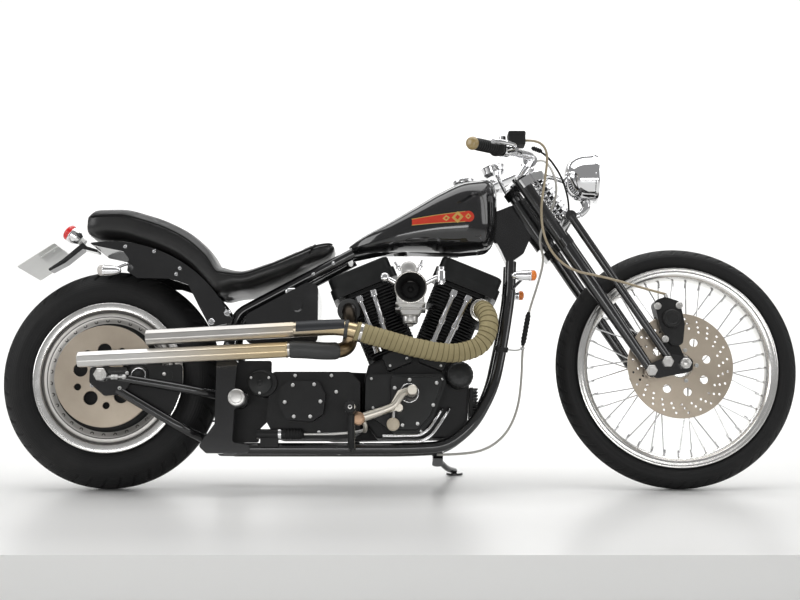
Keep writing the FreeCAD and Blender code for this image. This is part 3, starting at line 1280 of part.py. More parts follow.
CLUTCH_CABLE = [V(1168.5, 228.6, 952.5), V(1192.0, 198.0, 962.0), V(1218.0, 156.0, 980.0),
                V(1242.0, 106.0, 994.0), V(1264.0, 52.0, 996.0), V(1280.0, 2.0, 980.0),
                V(1292.0, -38.0, 946.0), V(1304.0, -60.0, 900.0), V(1302.0, -69.0, 850.0),
                V(1282.0, -68.0, 802.0), V(1258.0, -65.0, 758.0), V(1250.0, -62.0, 714.0),
                V(1264.0, -60.0, 664.0), V(1244.0, -54.0, 590.0), V(1214.0, -48.0, 502.0),
                V(1197.0, -46.0, 405.0), V(1193.0, -48.0, 310.0), V(1180.0, -54.0, 224.0),
                V(1146.0, -60.0, 154.0), V(1088.0, -67.0, 110.0), V(1016.0, -75.0, 97.0),
                V(946.0, -84.0, 96.0)]
CLUTCH_CABLE_R = 3.5
BRAKE_HOSE = [V(1196.2, -232.0, 974.0), V(1225.0, -232.0, 975.0), V(1251.0, -227.5, 959.0),
              V(1261.0, -212.0, 930.0), V(1254.0, -180.0, 864.0), V(1245.0, -150.0, 790.0),
              V(1254.0, -136.0, 716.0),
              V(1286.0, -134.0, 656.0), V(1338.0, -136.0, 616.0), V(1408.0, -136.0, 603.0),
              V(1482.0, -132.0, 584.0), V(1548.0, -122.0, 566.0), V(1606.0, -98.0, 556.0)]
BRAKE_HOSE_R = 3.5


def cord(points, r):
    """A tube along points chosen by hand. It prints the bend radius at each point between its ends."""
    radii = []
    for i in range(1, len(points) - 1):
        start, middle, end = corner(points[i - 1], points[i], points[i + 1], None)
        radii.append(round(Part.Arc(start, middle, end).toShape().Curve.Radius))
    print("cord of radius", r, "with bends of", radii)
    return pipe(points, r)


# Placing

def origin_shift():
    """From the rear axle's ground point to the middle of the leaned machine's box."""
    middle_x = (WHEELBASE + FRONT_TYRE_R - REAR_TYRE_R) / 2.0
    grip_side = (GRIP_END[1] + 14.0) * COS_LEAN + GRIP_END[2] * SIN_LEAN
    peg_side = -PEG_OUT * COS_LEAN + PEG_Z * SIN_LEAN
    return V(-middle_x, -(grip_side + peg_side) / 2.0, LIFT)


def leaned():
    return FreeCAD.Placement(origin_shift(), FreeCAD.Rotation(V(1.0, 0.0, 0.0), -LEAN))


def pair(make):
    return [make(-1.0), make(1.0)]


def build():
    """Every node's solids, upright."""
    arm, tab = plate_bracket()
    nodes = {
        "rear_tyre": [tyre(REAR_AXLE, REAR_TYRE_R, REAR_TYRE_HALF, REAR_FLANGE_R, REAR_BEAD_R, REAR_RIM_HALF)],
        "rear_wheel_disc": [rear_wheel()],
        "rear_brake_disc": [brake_disc(REAR_AXLE, REAR_DISC_Y, REAR_DISC_R, 30.0, 5, 20.0, 74.0)],
        "rear_pulley": [rear_pulley()],
        "front_tyre": [tyre(FRONT_AXLE, FRONT_TYRE_R, FRONT_TYRE_HALF, FRONT_FLANGE_R, FRONT_BEAD_R,
                            FRONT_RIM_HALF)],
        "front_rim": [front_rim()],
        "front_hub": [front_hub()],
        "front_spokes": front_spokes(),
        "front_brake_disc": [brake_disc(FRONT_AXLE, FRONT_DISC_Y, FRONT_DISC_R, 36.0, 8, 12.0, 78.0)],
        "frame_backbone": [neck()],
        "frame_cradle_right": [cradle(-1.0)],
        "frame_cradle_left": [cradle(1.0)],
        "frame_rails": pair(seat_rail) + crossmembers() + [stand_bracket()],
        "swingarm": [swingarm()],
        "rear_axle": [rear_axle(), pivot_bolt()],
        "crankcase": [crankcase()],
        "cylinder_front": [cylinder(1.0)],
        "cylinder_rear": [cylinder(-1.0)],
        "rocker_boxes": [rocker_box(1.0), rocker_box(-1.0)],
        "cam_cover": [cam_cover()],
        "pushrod_tubes": pushrod_tubes() + lifter_blocks(),
        "carburettor": [carburettor()],
        "primary_cover": [primary_cover()],
        "transmission": [transmission()],
        "oil_tank": [oil_tank()],
        "oil_filter": [oil_filter()],
        "regulator": [regulator()],
        "exhaust_front": [exhaust(FRONT_HEADER, UPPER_BARE, UPPER_MUFFLER, WRAP_R)],
        "exhaust_rear": [exhaust(REAR_HEADER, None, LOWER_MUFFLER, PIPE_R)],
        "exhaust_shield": [pipe_cover(UPPER_BARE, PIPE_R, 2.0)],
        "oil_lines": [pipe(OIL_FEED, OIL_LINE_R), pipe(OIL_RETURN, OIL_LINE_R)],
        "fuel_cap": [fuel_cap()],
        "fuel_tank": [fuel_tank()],
        "seat": [seat()],
        "rear_fender": [rear_fender()],
        "tail_lamp": [tail_lamp()],
        "plate_bracket": [arm, tab],
        "number_plate": [number_plate()],
        "turn_signals": pair(rear_signal) + pair(front_signal),
        "foot_controls": [footpeg(-1.0), footpeg(1.0), brake_pedal(), shift_lever()],
        "rear_master_cylinder": [master_cylinder()],
        "rear_caliper": [caliper_rear()],
        "drive_belt": [drive_belt(), front_pulley()],
        "side_stand": [side_stand()],
        "clutch_cable": [cord(CLUTCH_CABLE, CLUTCH_CABLE_R)],
        "fork_legs": pair(rigid_leg),
        "spring_fork": [spring_fork()],
        "fork_springs": pair(coil_spring),
        "fork_crown": [fork_crown()],
        "fork_rockers": rockers(),
        "front_axle": [front_axle()],
        "handlebar": [handlebar()],
        "grips": pair(grip),
        "hand_controls": pair(hand_control),
        "headlamp": [headlamp()],
        "speedometer": [speedometer()],
        "front_caliper": [caliper_front()],
        "brake_hose": [cord(BRAKE_HOSE, BRAKE_HOSE_R)],
    }
    return nodes


def main():
    os.makedirs("parts", exist_ok=True)
    placement = leaned()
    for name, solids in build().items():
        shape = solids[0] if len(solids) == 1 else Part.makeCompound(solids)
        shape.Placement = placement.multiply(shape.Placement)
        shape.exportStep("parts/%s.step" % name)
        print(name, shape.isValid(), len(shape.Solids), round(shape.Volume / 1000.0, 1))


main()
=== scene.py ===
import math
from functools import partialmethod

import bmesh
import bpy
import numpy as np
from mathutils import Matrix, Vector, geometry


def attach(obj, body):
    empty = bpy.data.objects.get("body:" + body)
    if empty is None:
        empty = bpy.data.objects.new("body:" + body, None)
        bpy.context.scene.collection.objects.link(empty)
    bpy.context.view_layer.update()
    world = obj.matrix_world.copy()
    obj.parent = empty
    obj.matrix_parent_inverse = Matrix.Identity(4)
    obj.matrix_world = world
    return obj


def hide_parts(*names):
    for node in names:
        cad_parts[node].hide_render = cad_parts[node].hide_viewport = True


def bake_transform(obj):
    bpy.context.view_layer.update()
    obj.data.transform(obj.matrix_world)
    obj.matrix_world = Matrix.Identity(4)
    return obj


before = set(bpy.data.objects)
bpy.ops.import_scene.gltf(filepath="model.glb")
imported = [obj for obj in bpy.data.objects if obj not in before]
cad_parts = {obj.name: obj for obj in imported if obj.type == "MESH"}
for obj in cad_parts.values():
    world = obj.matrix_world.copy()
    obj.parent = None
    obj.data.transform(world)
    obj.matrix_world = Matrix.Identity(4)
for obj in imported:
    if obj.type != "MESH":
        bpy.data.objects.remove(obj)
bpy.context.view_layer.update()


# The studio: a white sweep of floor and wall that fades into light, with a raised floor edge in front.
# Large soft lamps hang over it and to both sides, as for a catalogue picture.
PHOTO_WIDTH = 800
PHOTO_FOCAL_PX = 1207.5
EYE = (-0.001, -3.614, 0.548)
STEP_EDGE_Y = -1.02
STEP_DROP = 0.12
FLOOR_HALF = 14
FLOOR_FRONT_Y = -9
BEND_Y = 7
BEND_R = 2.4
WALL_TOP = 9

camera = bpy.data.objects.new("camera", bpy.data.cameras.new("camera"))
bpy.context.scene.collection.objects.link(camera)
camera.data.sensor_width = 36
camera.data.lens = 36 * PHOTO_FOCAL_PX / PHOTO_WIDTH
camera.location = EYE
camera.rotation_euler = (math.radians(90), 0, 0)
bpy.context.scene.camera = camera

turn = np.linspace(0, math.pi / 2, 24)
sweep_y = np.concatenate([[STEP_EDGE_Y, STEP_EDGE_Y, 2.6], BEND_Y + BEND_R * np.sin(turn), [BEND_Y + BEND_R]])
sweep_z = np.concatenate([[-STEP_DROP, 0, 0], BEND_R - BEND_R * np.cos(turn), [WALL_TOP]])
rows = len(sweep_y)
studio_verts = [(x, y, z) for y, z in zip([*sweep_y, FLOOR_FRONT_Y], [*sweep_z, -STEP_DROP])
                for x in (-FLOOR_HALF, FLOOR_HALF)]
studio_faces = [(2 * i, 2 * i + 1, 2 * i + 3, 2 * i + 2) for i in range(rows - 1)]
studio_faces.append((2 * rows, 2 * rows + 1, 1, 0))
studio = bpy.data.objects.new("studio_floor", bpy.data.meshes.new("studio_floor"))
studio.data.from_pydata(studio_verts, [], studio_faces)
bpy.context.scene.collection.objects.link(studio)

floor_white = bpy.data.materials.new("floor_white")
floor_white.use_nodes = True
floor_shader = floor_white.node_tree.nodes["Principled BSDF"]
floor_shader.inputs["Base Color"].default_value = (0.80, 0.80, 0.79, 1)
floor_shader.inputs["Roughness"].default_value = 0.32
floor_shader.inputs["Specular IOR Level"].default_value = 0.35
studio.data.materials.append(floor_white)

for lamp_name, spot, aim, size, watts in (
    ("top_light", (0, 0, 4.2), (0, 0, 0.2), (6, 2.6), 125),
    ("left_light", (-4.6, -1.6, 2.4), (0, 0, 0.5), (2.4, 2.6), 60),
    ("right_light", (4.6, -1.6, 2.4), (0, 0, 0.5), (2.4, 2.6), 45),
    ("front_light", (0, -5.6, 0.5), (0, 0, 0.45), (5, 0.7), 60),
    ("wall_light", (0, 4.6, 5), (0, 7.2, 0.6), (10, 3), 600),
):
    lamp = bpy.data.objects.new(lamp_name, bpy.data.lights.new(lamp_name, "AREA"))
    lamp.data.shape = "RECTANGLE"
    lamp.data.size, lamp.data.size_y = size
    lamp.data.energy = watts
    lamp.location = spot
    lamp.rotation_euler = (Vector(aim) - Vector(spot)).to_track_quat("-Z", "Y").to_euler()
    bpy.context.scene.collection.objects.link(lamp)
world = bpy.data.worlds.new("soft_sky")
world.use_nodes = True
sky = world.node_tree.nodes["Background"]
sky.inputs["Color"].default_value = (1, 1, 1, 1)
seen = world.node_tree.nodes.new("ShaderNodeLightPath")
glow = world.node_tree.nodes.new("ShaderNodeMapRange")
glow.inputs["To Min"].default_value = 0.30
glow.inputs["To Max"].default_value = 1
world.node_tree.links.new(seen.outputs["Is Camera Ray"], glow.inputs["Value"])
world.node_tree.links.new(glow.outputs["Result"], sky.inputs["Strength"])
bpy.context.scene.world = world
bpy.context.scene.view_settings.view_transform = "Standard"


# The two control cables that run down from the bars: a long pale braided line to the gearbox side,
# and the front brake's braided hose. Both are steel braid under a clear or tan sleeve, held by clips.
# Each is a smooth line through the route's points.
LEAN = math.radians(9)
WHEEL_X = 842
SIDE_SHIFT = -119
BRAID_R = 3.5
TYRE_EDGE_Y = 75
LIFT = TYRE_EDGE_Y * (1 - math.cos(LEAN))


class Tone:
    """A number that changes over a surface. An expression on tones adds its Math nodes."""

    def __init__(self, tree, socket):
        self.tree = tree
        self.socket = socket

    def maths(self, operation, *others, first=None):
        node = self.tree.nodes.new("ShaderNodeMath")
        node.operation = operation
        values = (self if first is None else first, *others)
        for value, socket in zip(values, node.inputs):
            feed(self.tree, value, socket)
        return Tone(self.tree, node.outputs[0])

    __add__ = __radd__ = partialmethod(maths, "ADD")
    __mul__ = __rmul__ = partialmethod(maths, "MULTIPLY")
    __sub__ = partialmethod(maths, "SUBTRACT")
    __truediv__ = partialmethod(maths, "DIVIDE")
    __pow__ = partialmethod(maths, "POWER")
    __gt__ = partialmethod(maths, "GREATER_THAN")
    __lt__ = partialmethod(maths, "LESS_THAN")

    def __rsub__(self, other):
        return self.maths("SUBTRACT", self, first=other)

    def wave(self):
        """From -1 to 1, as a sine."""
        return self.maths("SINE")

    def size(self):
        """The number without its sign."""
        return self.maths("ABSOLUTE")

    def most(self, other):
        """The greater of two tones."""
        return self.maths("MAXIMUM", other)

    def rise(self, low, high):
        """0 below low, 1 above high, and a smooth climb between them."""
        node = self.tree.nodes.new("ShaderNodeMapRange")
        node.interpolation_type = "SMOOTHSTEP"
        for value, name in ((self, "Value"), (low, "From Min"), (high, "From Max")):
            feed(self.tree, value, node.inputs[name])
        return Tone(self.tree, node.outputs["Result"])


def feed(tree, value, socket):
    """Links a tone or a socket to an input, or sets a plain value on it."""
    if isinstance(value, Tone):
        tree.links.new(value.socket, socket)
    elif isinstance(value, bpy.types.NodeSocket):
        tree.links.new(value, socket)
    elif isinstance(value, tuple) and len(value) == 3 and socket.type == "RGBA":
        socket.default_value = (*value, 1)
    else:
        socket.default_value = value


class Finish:
    """One finish and its pieces' slot: node() adds nodes, and set() gives the shader its values."""

    def __init__(self, name, slot=None, **values):
        self.slot = slot
        self.material = bpy.data.materials.new(name)
        self.material.use_nodes = True
        self.tree = self.material.node_tree
        self.shader = self.tree.nodes["Principled BSDF"]
        place = self.tree.nodes.new("ShaderNodeTexCoord")
        self.here = place.outputs["Object"]
        self.set(**values)

    def set(self, **values):
        for name, value in values.items():
            feed(self.tree, value, self.shader.inputs[name.replace("_", " ")])
        return self

    def node(self, kind, settings=None, out=0, **values):
        """Any node: its settings first, then its sockets by name or by place, as in0."""
        node = self.tree.nodes.new(kind)
        for name, value in (settings or {}).items():
            setattr(node, name, value)
        for name, value in values.items():
            key = int(name[2:]) if name[2:].isdigit() else name.replace("_", " ")
            feed(self.tree, value, node.inputs[key])
        return node.outputs[out]

    def grain(self, scale, detail=3, stretch=None):
        """Cloudy noise at so many bumps a metre, 0 to 1, stretched along an axis where asked."""
        where = self.here
        if stretch is not None:
            where = self.node("ShaderNodeMapping", Vector=where, Scale=stretch)
        node = self.node("ShaderNodeTexNoise", Vector=where, Scale=scale, Detail=detail, Roughness=0.55)
        return Tone(self.tree, node)

    def cells(self, feature, scale):
        """Distance to the nearest of so many cell centres a metre."""
        node = self.node("ShaderNodeTexVoronoi", {"feature": feature}, Vector=self.here, Scale=scale)
        return Tone(self.tree, node)

    def axis(self, name, where=None):
        """One coordinate of the object, in metres."""
        return Tone(self.tree, self.node("ShaderNodeSeparateXYZ", out=name, Vector=where or self.here))

    def blend(self, mask, a, b):
        """Colour a where the mask is 0 and b where it is 1."""
        return self.node("ShaderNodeMix", {"data_type": "RGBA"}, 2, in0=mask, in6=a, in7=b)

    def bump(self, height, depth):
        """A surface raised by height, 0 to 1, times the depth in metres."""
        return self.node("ShaderNodeBump", out="Normal", Distance=depth, Height=height)


def leaned(points):
    """Upright machine points in mm, x forward from the rear axle, y left and z up, as leaned metres."""
    x, y, z = np.moveaxis(np.asarray(points, float), -1, 0)
    side = y * math.cos(LEAN) + z * math.sin(LEAN) + SIDE_SHIFT
    height = z * math.cos(LEAN) - y * math.sin(LEAN) + LIFT
    return np.stack([x - WHEEL_X, side, height], axis=-1) / 1000


def side_and_height(y, z):
    """A leaned point's sideways place and height in metres as the upright machine's y and z in mm."""
    c, s = math.cos(LEAN), math.sin(LEAN)
    y = y * 1000 - SIDE_SHIFT
    z = z * 1000 - LIFT
    return y * c - z * s, y * s + z * c


def piece(name, verts, faces, finish, body="chassis", slot="own", uv=None):
    """A mesh of leaned points that rides on a body. The slot argument is not used."""
    mesh = bpy.data.meshes.new(name)
    mesh.from_pydata([tuple(v) for v in verts], [], [tuple(f) for f in faces])
    mesh.polygons.foreach_set("use_smooth", np.ones(len(mesh.polygons), bool))
    if uv is not None:
        layer = mesh.uv_layers.new(name="UVMap")
        corners = np.zeros(len(mesh.loops), np.int32)
        mesh.loops.foreach_get("vertex_index", corners)
        layer.data.foreach_set("uv", np.asarray(uv, np.float32)[corners].ravel())
    thing = bpy.data.objects.new(name, mesh)
    bpy.context.scene.collection.objects.link(thing)
    mesh.materials.append(finish.material)
    if slot == "own":
        slot = finish.slot
    if body is not None:
        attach(thing, body)
    return thing


def weave_faces(rows, columns, round_rows=False):
    """The four-sided faces of a grid of closed rows, with the last row joined to the first where asked."""
    r, c = np.divmod(np.arange((rows if round_rows else rows - 1) * columns), columns)
    r1 = (r + 1) % rows
    c1 = (c + 1) % columns
    return np.stack([r * columns + c, r * columns + c1, r1 * columns + c1, r1 * columns + c], axis=1)


def smooth_line(points, step):
    """Points read from a smooth spline that has the given points as its controls, in the same units."""
    curve = bpy.data.curves.new("route", "CURVE")
    curve.dimensions = "3D"
    spline = curve.splines.new("NURBS")
    spline.points.add(len(points) - 1)
    flat = np.ones((len(points), 4))
    flat[:, :3] = points
    spline.points.foreach_set("co", flat.ravel())
    spline.use_endpoint_u = True
    spline.order_u = 3
    spline.resolution_u = step
    holder = bpy.data.objects.new("route", curve)
    mesh = bpy.data.meshes.new_from_object(holder)
    line = np.array([v.co for v in mesh.vertices], float)
    bpy.data.objects.remove(holder)
    bpy.data.curves.remove(curve)
    bpy.data.meshes.remove(mesh)
    return line


def tube_frames(line):
    """Unit vectors along a line, and two across it that turn as little as they can."""
    along = np.gradient(line, axis=0)
    along /= np.linalg.norm(along, axis=1)[:, None]
    side = np.cross(along[0], (0, 0, 1))
    if np.linalg.norm(side) < 0.1:
        side = np.cross(along[0], (0, 1, 0))
    sides = []
    for direction in along:
        side = side - direction * side.dot(direction)
        side = side / np.linalg.norm(side)
        sides.append(side)
    sides = np.array(sides)
    return along, sides, np.cross(along, sides)


def tube(name, line, radius, finish, body="chassis", slot="own", around=16, wave=None):
    """Rings of a radius, or of one for each point, square to a line in upright mm.
    UV runs round and along it, in mm."""
    line = np.asarray(line, float)
    radius = np.broadcast_to(np.asarray(radius, float), len(line))
    along, side, up = tube_frames(line)
    angle = np.linspace(0, math.tau, around, endpoint=False)
    ring = side[:, None, :] * np.cos(angle)[None, :, None] + up[:, None, :] * np.sin(angle)[None, :, None]
    length = np.concatenate([[0], np.cumsum(np.linalg.norm(np.diff(line, axis=0), axis=1))])
    reach = np.repeat(radius[:, None], around, axis=1)
    if wave is not None:
        reach = reach + wave(length[:, None], angle[None, :])
    verts = (line[:, None, :] + ring * reach[:, :, None]).reshape(-1, 3)
    last = (len(line) - 1) * around
    faces = [*weave_faces(len(line), around)[:, ::-1], range(around), range(last + around - 1, last - 1, -1)]
    uv = np.stack([np.broadcast_to(angle[None, :] / math.tau, reach.shape),
                   np.broadcast_to(length[:, None], reach.shape)], axis=-1).reshape(-1, 2)
    return piece(name, leaned(verts), faces, finish, body, slot, uv=uv)


def braided(name, colour, dark):
    """Fine crossed strands under a clear sleeve: two sets of diagonal ridges along the cord."""
    finish = Finish(name, "hose_cover", Roughness=0.38, Coat_Weight=0.5, Coat_Roughness=0.2)
    place = finish.node("ShaderNodeUVMap")
    u = finish.axis("X", place)
    v = finish.axis("Y", place)
    one = (u * 75.4 + v * 1.9).wave()
    other = (u * 75.4 - v * 1.9).wave()
    strands = (one * other) * 0.5 + 0.5
    worn = finish.grain(30)
    finish.set(Base_Color=finish.blend(strands * (0.55 + worn * 0.45), dark, colour),
               Normal=finish.bump(strands, 0.0004))
    return finish


cable_sleeve = braided("pale_braid", (0.62, 0.60, 0.55), (0.36, 0.35, 0.32))
hose_sleeve = braided("tan_braid", (0.52, 0.43, 0.29), (0.30, 0.24, 0.15))

LONG_CABLE = [(1168.5, 228.6, 952.5), (1192, 198, 962), (1218, 156, 980), (1242, 106, 994), (1264, 52, 996),
              (1280, 2, 980), (1292, -38, 946), (1304, -60, 900), (1302, -69, 850), (1282, -68, 802),
              (1258, -65, 758), (1250, -62, 714), (1264, -60, 664), (1244, -54, 590), (1214, -48, 502),
              (1197, -46, 405), (1193, -48, 310), (1180, -54, 224), (1146, -60, 154), (1088, -67, 110),
              (1016, -75, 97), (946, -84, 96)]
BRAKE_HOSE = [(1196.2, -232, 974), (1225, -232, 975), (1251, -227.5, 959), (1261, -212, 930),
              (1254, -180, 864), (1245, -150, 790), (1254, -136, 716), (1286, -134, 656), (1338, -136, 616),
              (1408, -136, 603), (1482, -132, 584), (1548, -122, 566), (1606, -98, 556)]

cable_line = smooth_line(LONG_CABLE, 8)
cable = tube("clutch_cable_braid", cable_line, BRAID_R, cable_sleeve, None)
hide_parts("clutch_cable")
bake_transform(cable)

hose_line = smooth_line(BRAKE_HOSE, 8)
hose = tube("brake_hose_braid", hose_line, BRAID_R, hose_sleeve, "steering")
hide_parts("brake_hose")


# The rear wheel: a fat 16 inch tyre on a cast alloy wheel with a solid, slightly dished web.
# The rim is polished, the web is near black inside a ring of dimples as painted shade for the dark behind the
# brake disc, and a steel brake disc is bolted to the hub.
# Tyre and wheel are profiles turned about the axle, and the tread's grooves are cut into the profile.
REAR_AXLE = (0, 0, 318)
REAR_TYRE_R = 318
REAR_TYRE_HALF = 75
LEFT = (0, 1, 0)
RIGHT = (0, -1, 0)
UPWARD = (0, 0, 1)
FORWARD = (1, 0, 0)
SIDES = ((0, -1), (1, 1))


def eased(points, radius, steps=3, closed=False):
    """A polyline with each corner cut back to a short arc of steps points, at most 0.4 of a side long."""
    p = np.asarray(points, float)
    sides = [np.roll(p, way, axis=0) - p for way in (1, -1)]
    lengths = [np.maximum(np.linalg.norm(side, axis=1), 1e-9) for side in sides]
    cut = np.minimum(np.broadcast_to(radius, len(p)), 0.4 * np.minimum(*lengths))
    start, end = (p + side / length[:, None] * cut[:, None] for side, length in zip(sides, lengths))
    t = np.linspace(0, 1, steps)[None, :, None]
    arc = start[:, None] * (1 - t) ** 2 + 2 * p[:, None] * t * (1 - t) + end[:, None] * t ** 2
    if closed:
        return arc.reshape(-1, p.shape[1])
    return np.concatenate([p[:1], arc[1:-1].reshape(-1, p.shape[1]), p[-1:]])


def square_loop(a0, a1, b0, b1, corner, steps=3):
    """A rectangle from a0 to a1 and from b0 to b1 with eased corners, for a plate or a ring's section."""
    return eased([(a0, b0), (a1, b0), (a1, b1), (a0, b1)], corner, steps, closed=True)


def lathe(profile, axis, around):
    """The angles round an axis, the profile's points on it in mm, and the unit rays out from it."""
    axis = np.asarray(axis, float) / np.linalg.norm(axis)
    across = np.cross(axis, (0, 0, 1) if abs(axis[2]) < 0.9 else (1, 0, 0))
    across /= np.linalg.norm(across)
    angle = np.linspace(0, math.tau, around, endpoint=False)
    rays = across * np.cos(angle)[:, None] + np.cross(axis, across) * np.sin(angle)[:, None]
    return angle, profile[:, 1][:, None, None] * axis, rays


def turned(name, profile, centre, axis, finish, body="chassis", slot="own", around=96, shape=None,
           ring=False):
    """A profile of (radius, distance along the axis) in mm, turned about the axis.
    UV runs round and along it. shape(angle, row) may add to the radius. A ring's profile is closed."""
    profile = np.asarray(profile, float)
    angle, spine, rays = lathe(profile, axis, around)
    reach = np.repeat(profile[:, :1], around, axis=1)
    if shape is not None:
        reach = reach + shape(angle[None, :], np.arange(len(profile))[:, None])
    verts = (np.asarray(centre, float) + spine + rays * reach[:, :, None]).reshape(-1, 3)
    along = np.concatenate([[0], np.cumsum(np.linalg.norm(np.diff(profile, axis=0), axis=1))])
    uv = np.stack(np.broadcast_arrays(angle[None, :] / math.tau, along[:, None]), axis=-1).reshape(-1, 2)
    faces = weave_faces(len(profile), around, round_rows=ring)
    return tidy(piece(name, leaned(verts), faces, finish, body, slot, uv=uv))


def tidy(thing, sharp=38):
    """Merges doubled points, turns the faces outwards and keeps hard edges hard."""
    work = bmesh.new()
    work.from_mesh(thing.data)
    bmesh.ops.remove_doubles(work, verts=work.verts, dist=2e-6)
    bmesh.ops.dissolve_degenerate(work, edges=work.edges, dist=1e-7)
    bmesh.ops.recalc_face_normals(work, faces=work.faces)
    work.to_mesh(thing.data)
    work.free()
    thing.data.set_sharp_from_angle(angle=math.radians(sharp))
    return thing


def ray(angle, r, centre, y):
    """Points at an angle and radius about a sideways axis through the centre, at the side position y."""
    angle, r, y = np.broadcast_arrays(np.asarray(angle, float), r, y)
    return np.stack([centre[0] + r * np.cos(angle), y, centre[2] + r * np.sin(angle)], axis=-1)


def studs(name, spots, axis, profile, finish, body="chassis", slot="own", around=12):
    """The same small turned form at many spots, all facing along the axis, joined as one piece."""
    profile = np.asarray(profile, float)
    spine, rays = lathe(profile, axis, around)[1:]
    one = (spine + rays * profile[:, :1, None]).reshape(-1, 3)
    verts = (np.asarray(spots, float)[:, None, :] + one).reshape(-1, 3)
    faces = weave_faces(len(profile), around) + (np.arange(len(spots)) * len(one))[:, None, None]
    return tidy(piece(name, leaned(verts), faces.reshape(-1, 4), finish, body, slot))


def socket_head(r, height):
    """The profile of a round bolt head with a sunken socket."""
    return [(0, height * 0.35), (r * 0.5, height * 0.35), (r * 0.55, height * 0.98), (r * 0.86, height),
            (r, height * 0.84), (r, -1), (0, -1)]


def nut_head(r, height, stud=0.45):
    """The profile of a nut with the bolt's end in it."""
    return [(0, height * 1.25), (r * stud * 0.8, height * 1.25), (r * stud, height * 1.12),
            (r * stud, height), (r * 0.86, height), (r, height * 0.82), (r, -1), (0, -1)]


def rubber_black(name, rings=0, slot="rubber"):
    """Worn black tyre rubber: dull, a little dusty in the hollows, with fine moulded rings on the wall."""
    finish = Finish(name, slot, Specular_IOR_Level=0.24)
    dust = finish.grain(9, detail=6).rise(0.45, 0.8)
    fine = finish.grain(420, detail=2)
    height = fine * 0.35
    if rings:
        v = finish.axis("Y", finish.node("ShaderNodeUVMap"))
        height = height + (v * rings).wave() * 0.5
    finish.set(Base_Color=finish.blend(dust * 0.55, (0.009, 0.009, 0.0093), (0.024, 0.0235, 0.023)),
               Roughness=fine * 0.12 + 0.5 + dust * 0.12, Normal=finish.bump(height, 0.0003))
    return finish


def cast_alloy(name, colour, rough, slot="bare_steel"):
    """Satin cast alloy: soft grey with faint clouds and a fine sandy skin."""
    finish = Finish(name, slot, Metallic=1)
    cloud = finish.grain(14, detail=5)
    sand = finish.grain(900, detail=2)
    finish.set(Base_Color=finish.blend(cloud, tuple(c * 0.82 for c in colour), colour),
               Roughness=cloud * 0.14 + rough, Normal=finish.bump(sand, 0.0001))
    return finish


def bright_metal(name, colour, rough, slot="chrome"):
    """Polished metal, with faint smears that show as softer patches."""
    finish = Finish(name, slot, Metallic=1, Base_Color=colour)
    smear = finish.grain(26, detail=4)
    finish.set(Roughness=smear.rise(0.4, 0.9) * 0.07 + rough)
    return finish


def tyre_profile(outer, half, flange, rim_half, count=64):
    """Half of the tyre from its crown to the bead, then mirrored: crown arc, shoulder, bulging wall."""
    shoulder = math.radians(42)
    a = np.linspace(0, shoulder, count // 2)
    crown = np.stack([outer - half + half * np.cos(a), half * np.sin(a)], axis=1)
    low = np.array([flange + 3, rim_half - 7.3])
    high = crown[-1]
    t = np.linspace(0, 1, count // 2)[1:, None]
    bulge = np.array([(high[0] + low[0]) / 2, half * 1.26])
    wall = high * (1 - t) ** 2 + 2 * t * (1 - t) * bulge + low * t ** 2
    wall[:, 1] = np.minimum(wall[:, 1], half - 0.2)
    right = np.concatenate([crown, wall, [[flange - 6, rim_half - 8]]])
    left = right[1:] * (1, -1)
    return np.concatenate([left[::-1], right])


def tread(profile, outer, half, blocks, depth, cut_from, cut_to):
    """Grooves in the crown: two bands run round it and slanted ones cut the shoulders, the same all round."""
    y = profile[:, 1] / half
    arc = np.abs(y)[:, None]
    worn = np.clip((profile[:, 0][:, None] - (outer - half * 0.62)) / 12, 0, 1)
    slant_half = 0.115
    slant_edge = 0.035
    fade = 0.04
    band_at = 0.22
    band_half = 0.028
    band_edge = 0.012

    def shape(angle, row):
        slant = angle * blocks / math.tau + np.sign(y)[:, None] * 0.22 + arc * 1.15
        saw = np.abs(np.mod(slant, 1) - 0.5)
        cut = np.clip((slant_half - saw) / slant_edge, 0, 1)
        cut = cut * np.clip((arc - cut_from) / fade, 0, 1) * np.clip((cut_to - arc) / fade, 0, 1)
        round_cut = np.clip((band_half - np.abs(arc - band_at)) / band_edge, 0, 1)
        return -depth * np.maximum(cut, round_cut) * worn
    return shape


tyre_rubber = rubber_black("tyre_rubber", 0.9, "tyre")
polished_rim = bright_metal("polished_rim", (0.84, 0.83, 0.81), 0.2, "polished_alloy")

rear_profile = tyre_profile(REAR_TYRE_R, REAR_TYRE_HALF, 217, 68)
rear_tread = tread(rear_profile, REAR_TYRE_R, REAR_TYRE_HALF, 44, 4.5, 0.30, 0.80)
rear_tyre = turned("rear_tyre_tread", rear_profile, REAR_AXLE, LEFT, tyre_rubber, "rear_wheel", around=720,
                   shape=rear_tread)
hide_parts("rear_tyre")

wheel_right = [(11, -93), (30, -93), (34, -88), (40, -72), (52, -63), (120, -56), (150, -54), (160, -57),
               (172, -63), (180, -64), (187, -61), (190, -55.5), (193, -56), (195, -66), (198, -68),
               (214, -68), (217, -66.5), (217, -63.2), (203.2, -62.8)]
wheel_left = [(203.2, 62.8), (217, 63.2), (217, 66.5), (214, 68), (198, 68), (194, 66), (190, 50),
              (180, -24), (172, -28), (60, -28), (52, -20), (46, 56), (38, 70), (36, 90.5), (11, 90.5)]
wheel_profile = eased(wheel_right + wheel_left, 2.2)


def from_axle(finish, centre):
    """The distance in metres from the axle's middle: the root of the three squared distances."""
    middle = leaned(centre)
    x, side, up = (finish.axis(letter) - float(middle[i]) for i, letter in enumerate("XYZ"))
    return (x * x + side * side + up * up) ** 0.5


def between_reaches(reach, start, end):
    """1 between two distances and 0 elsewhere, with an edge of 0.6 mm."""
    return reach.rise(start, start + 0.0006) * (1 - reach.rise(end, end + 0.0006))


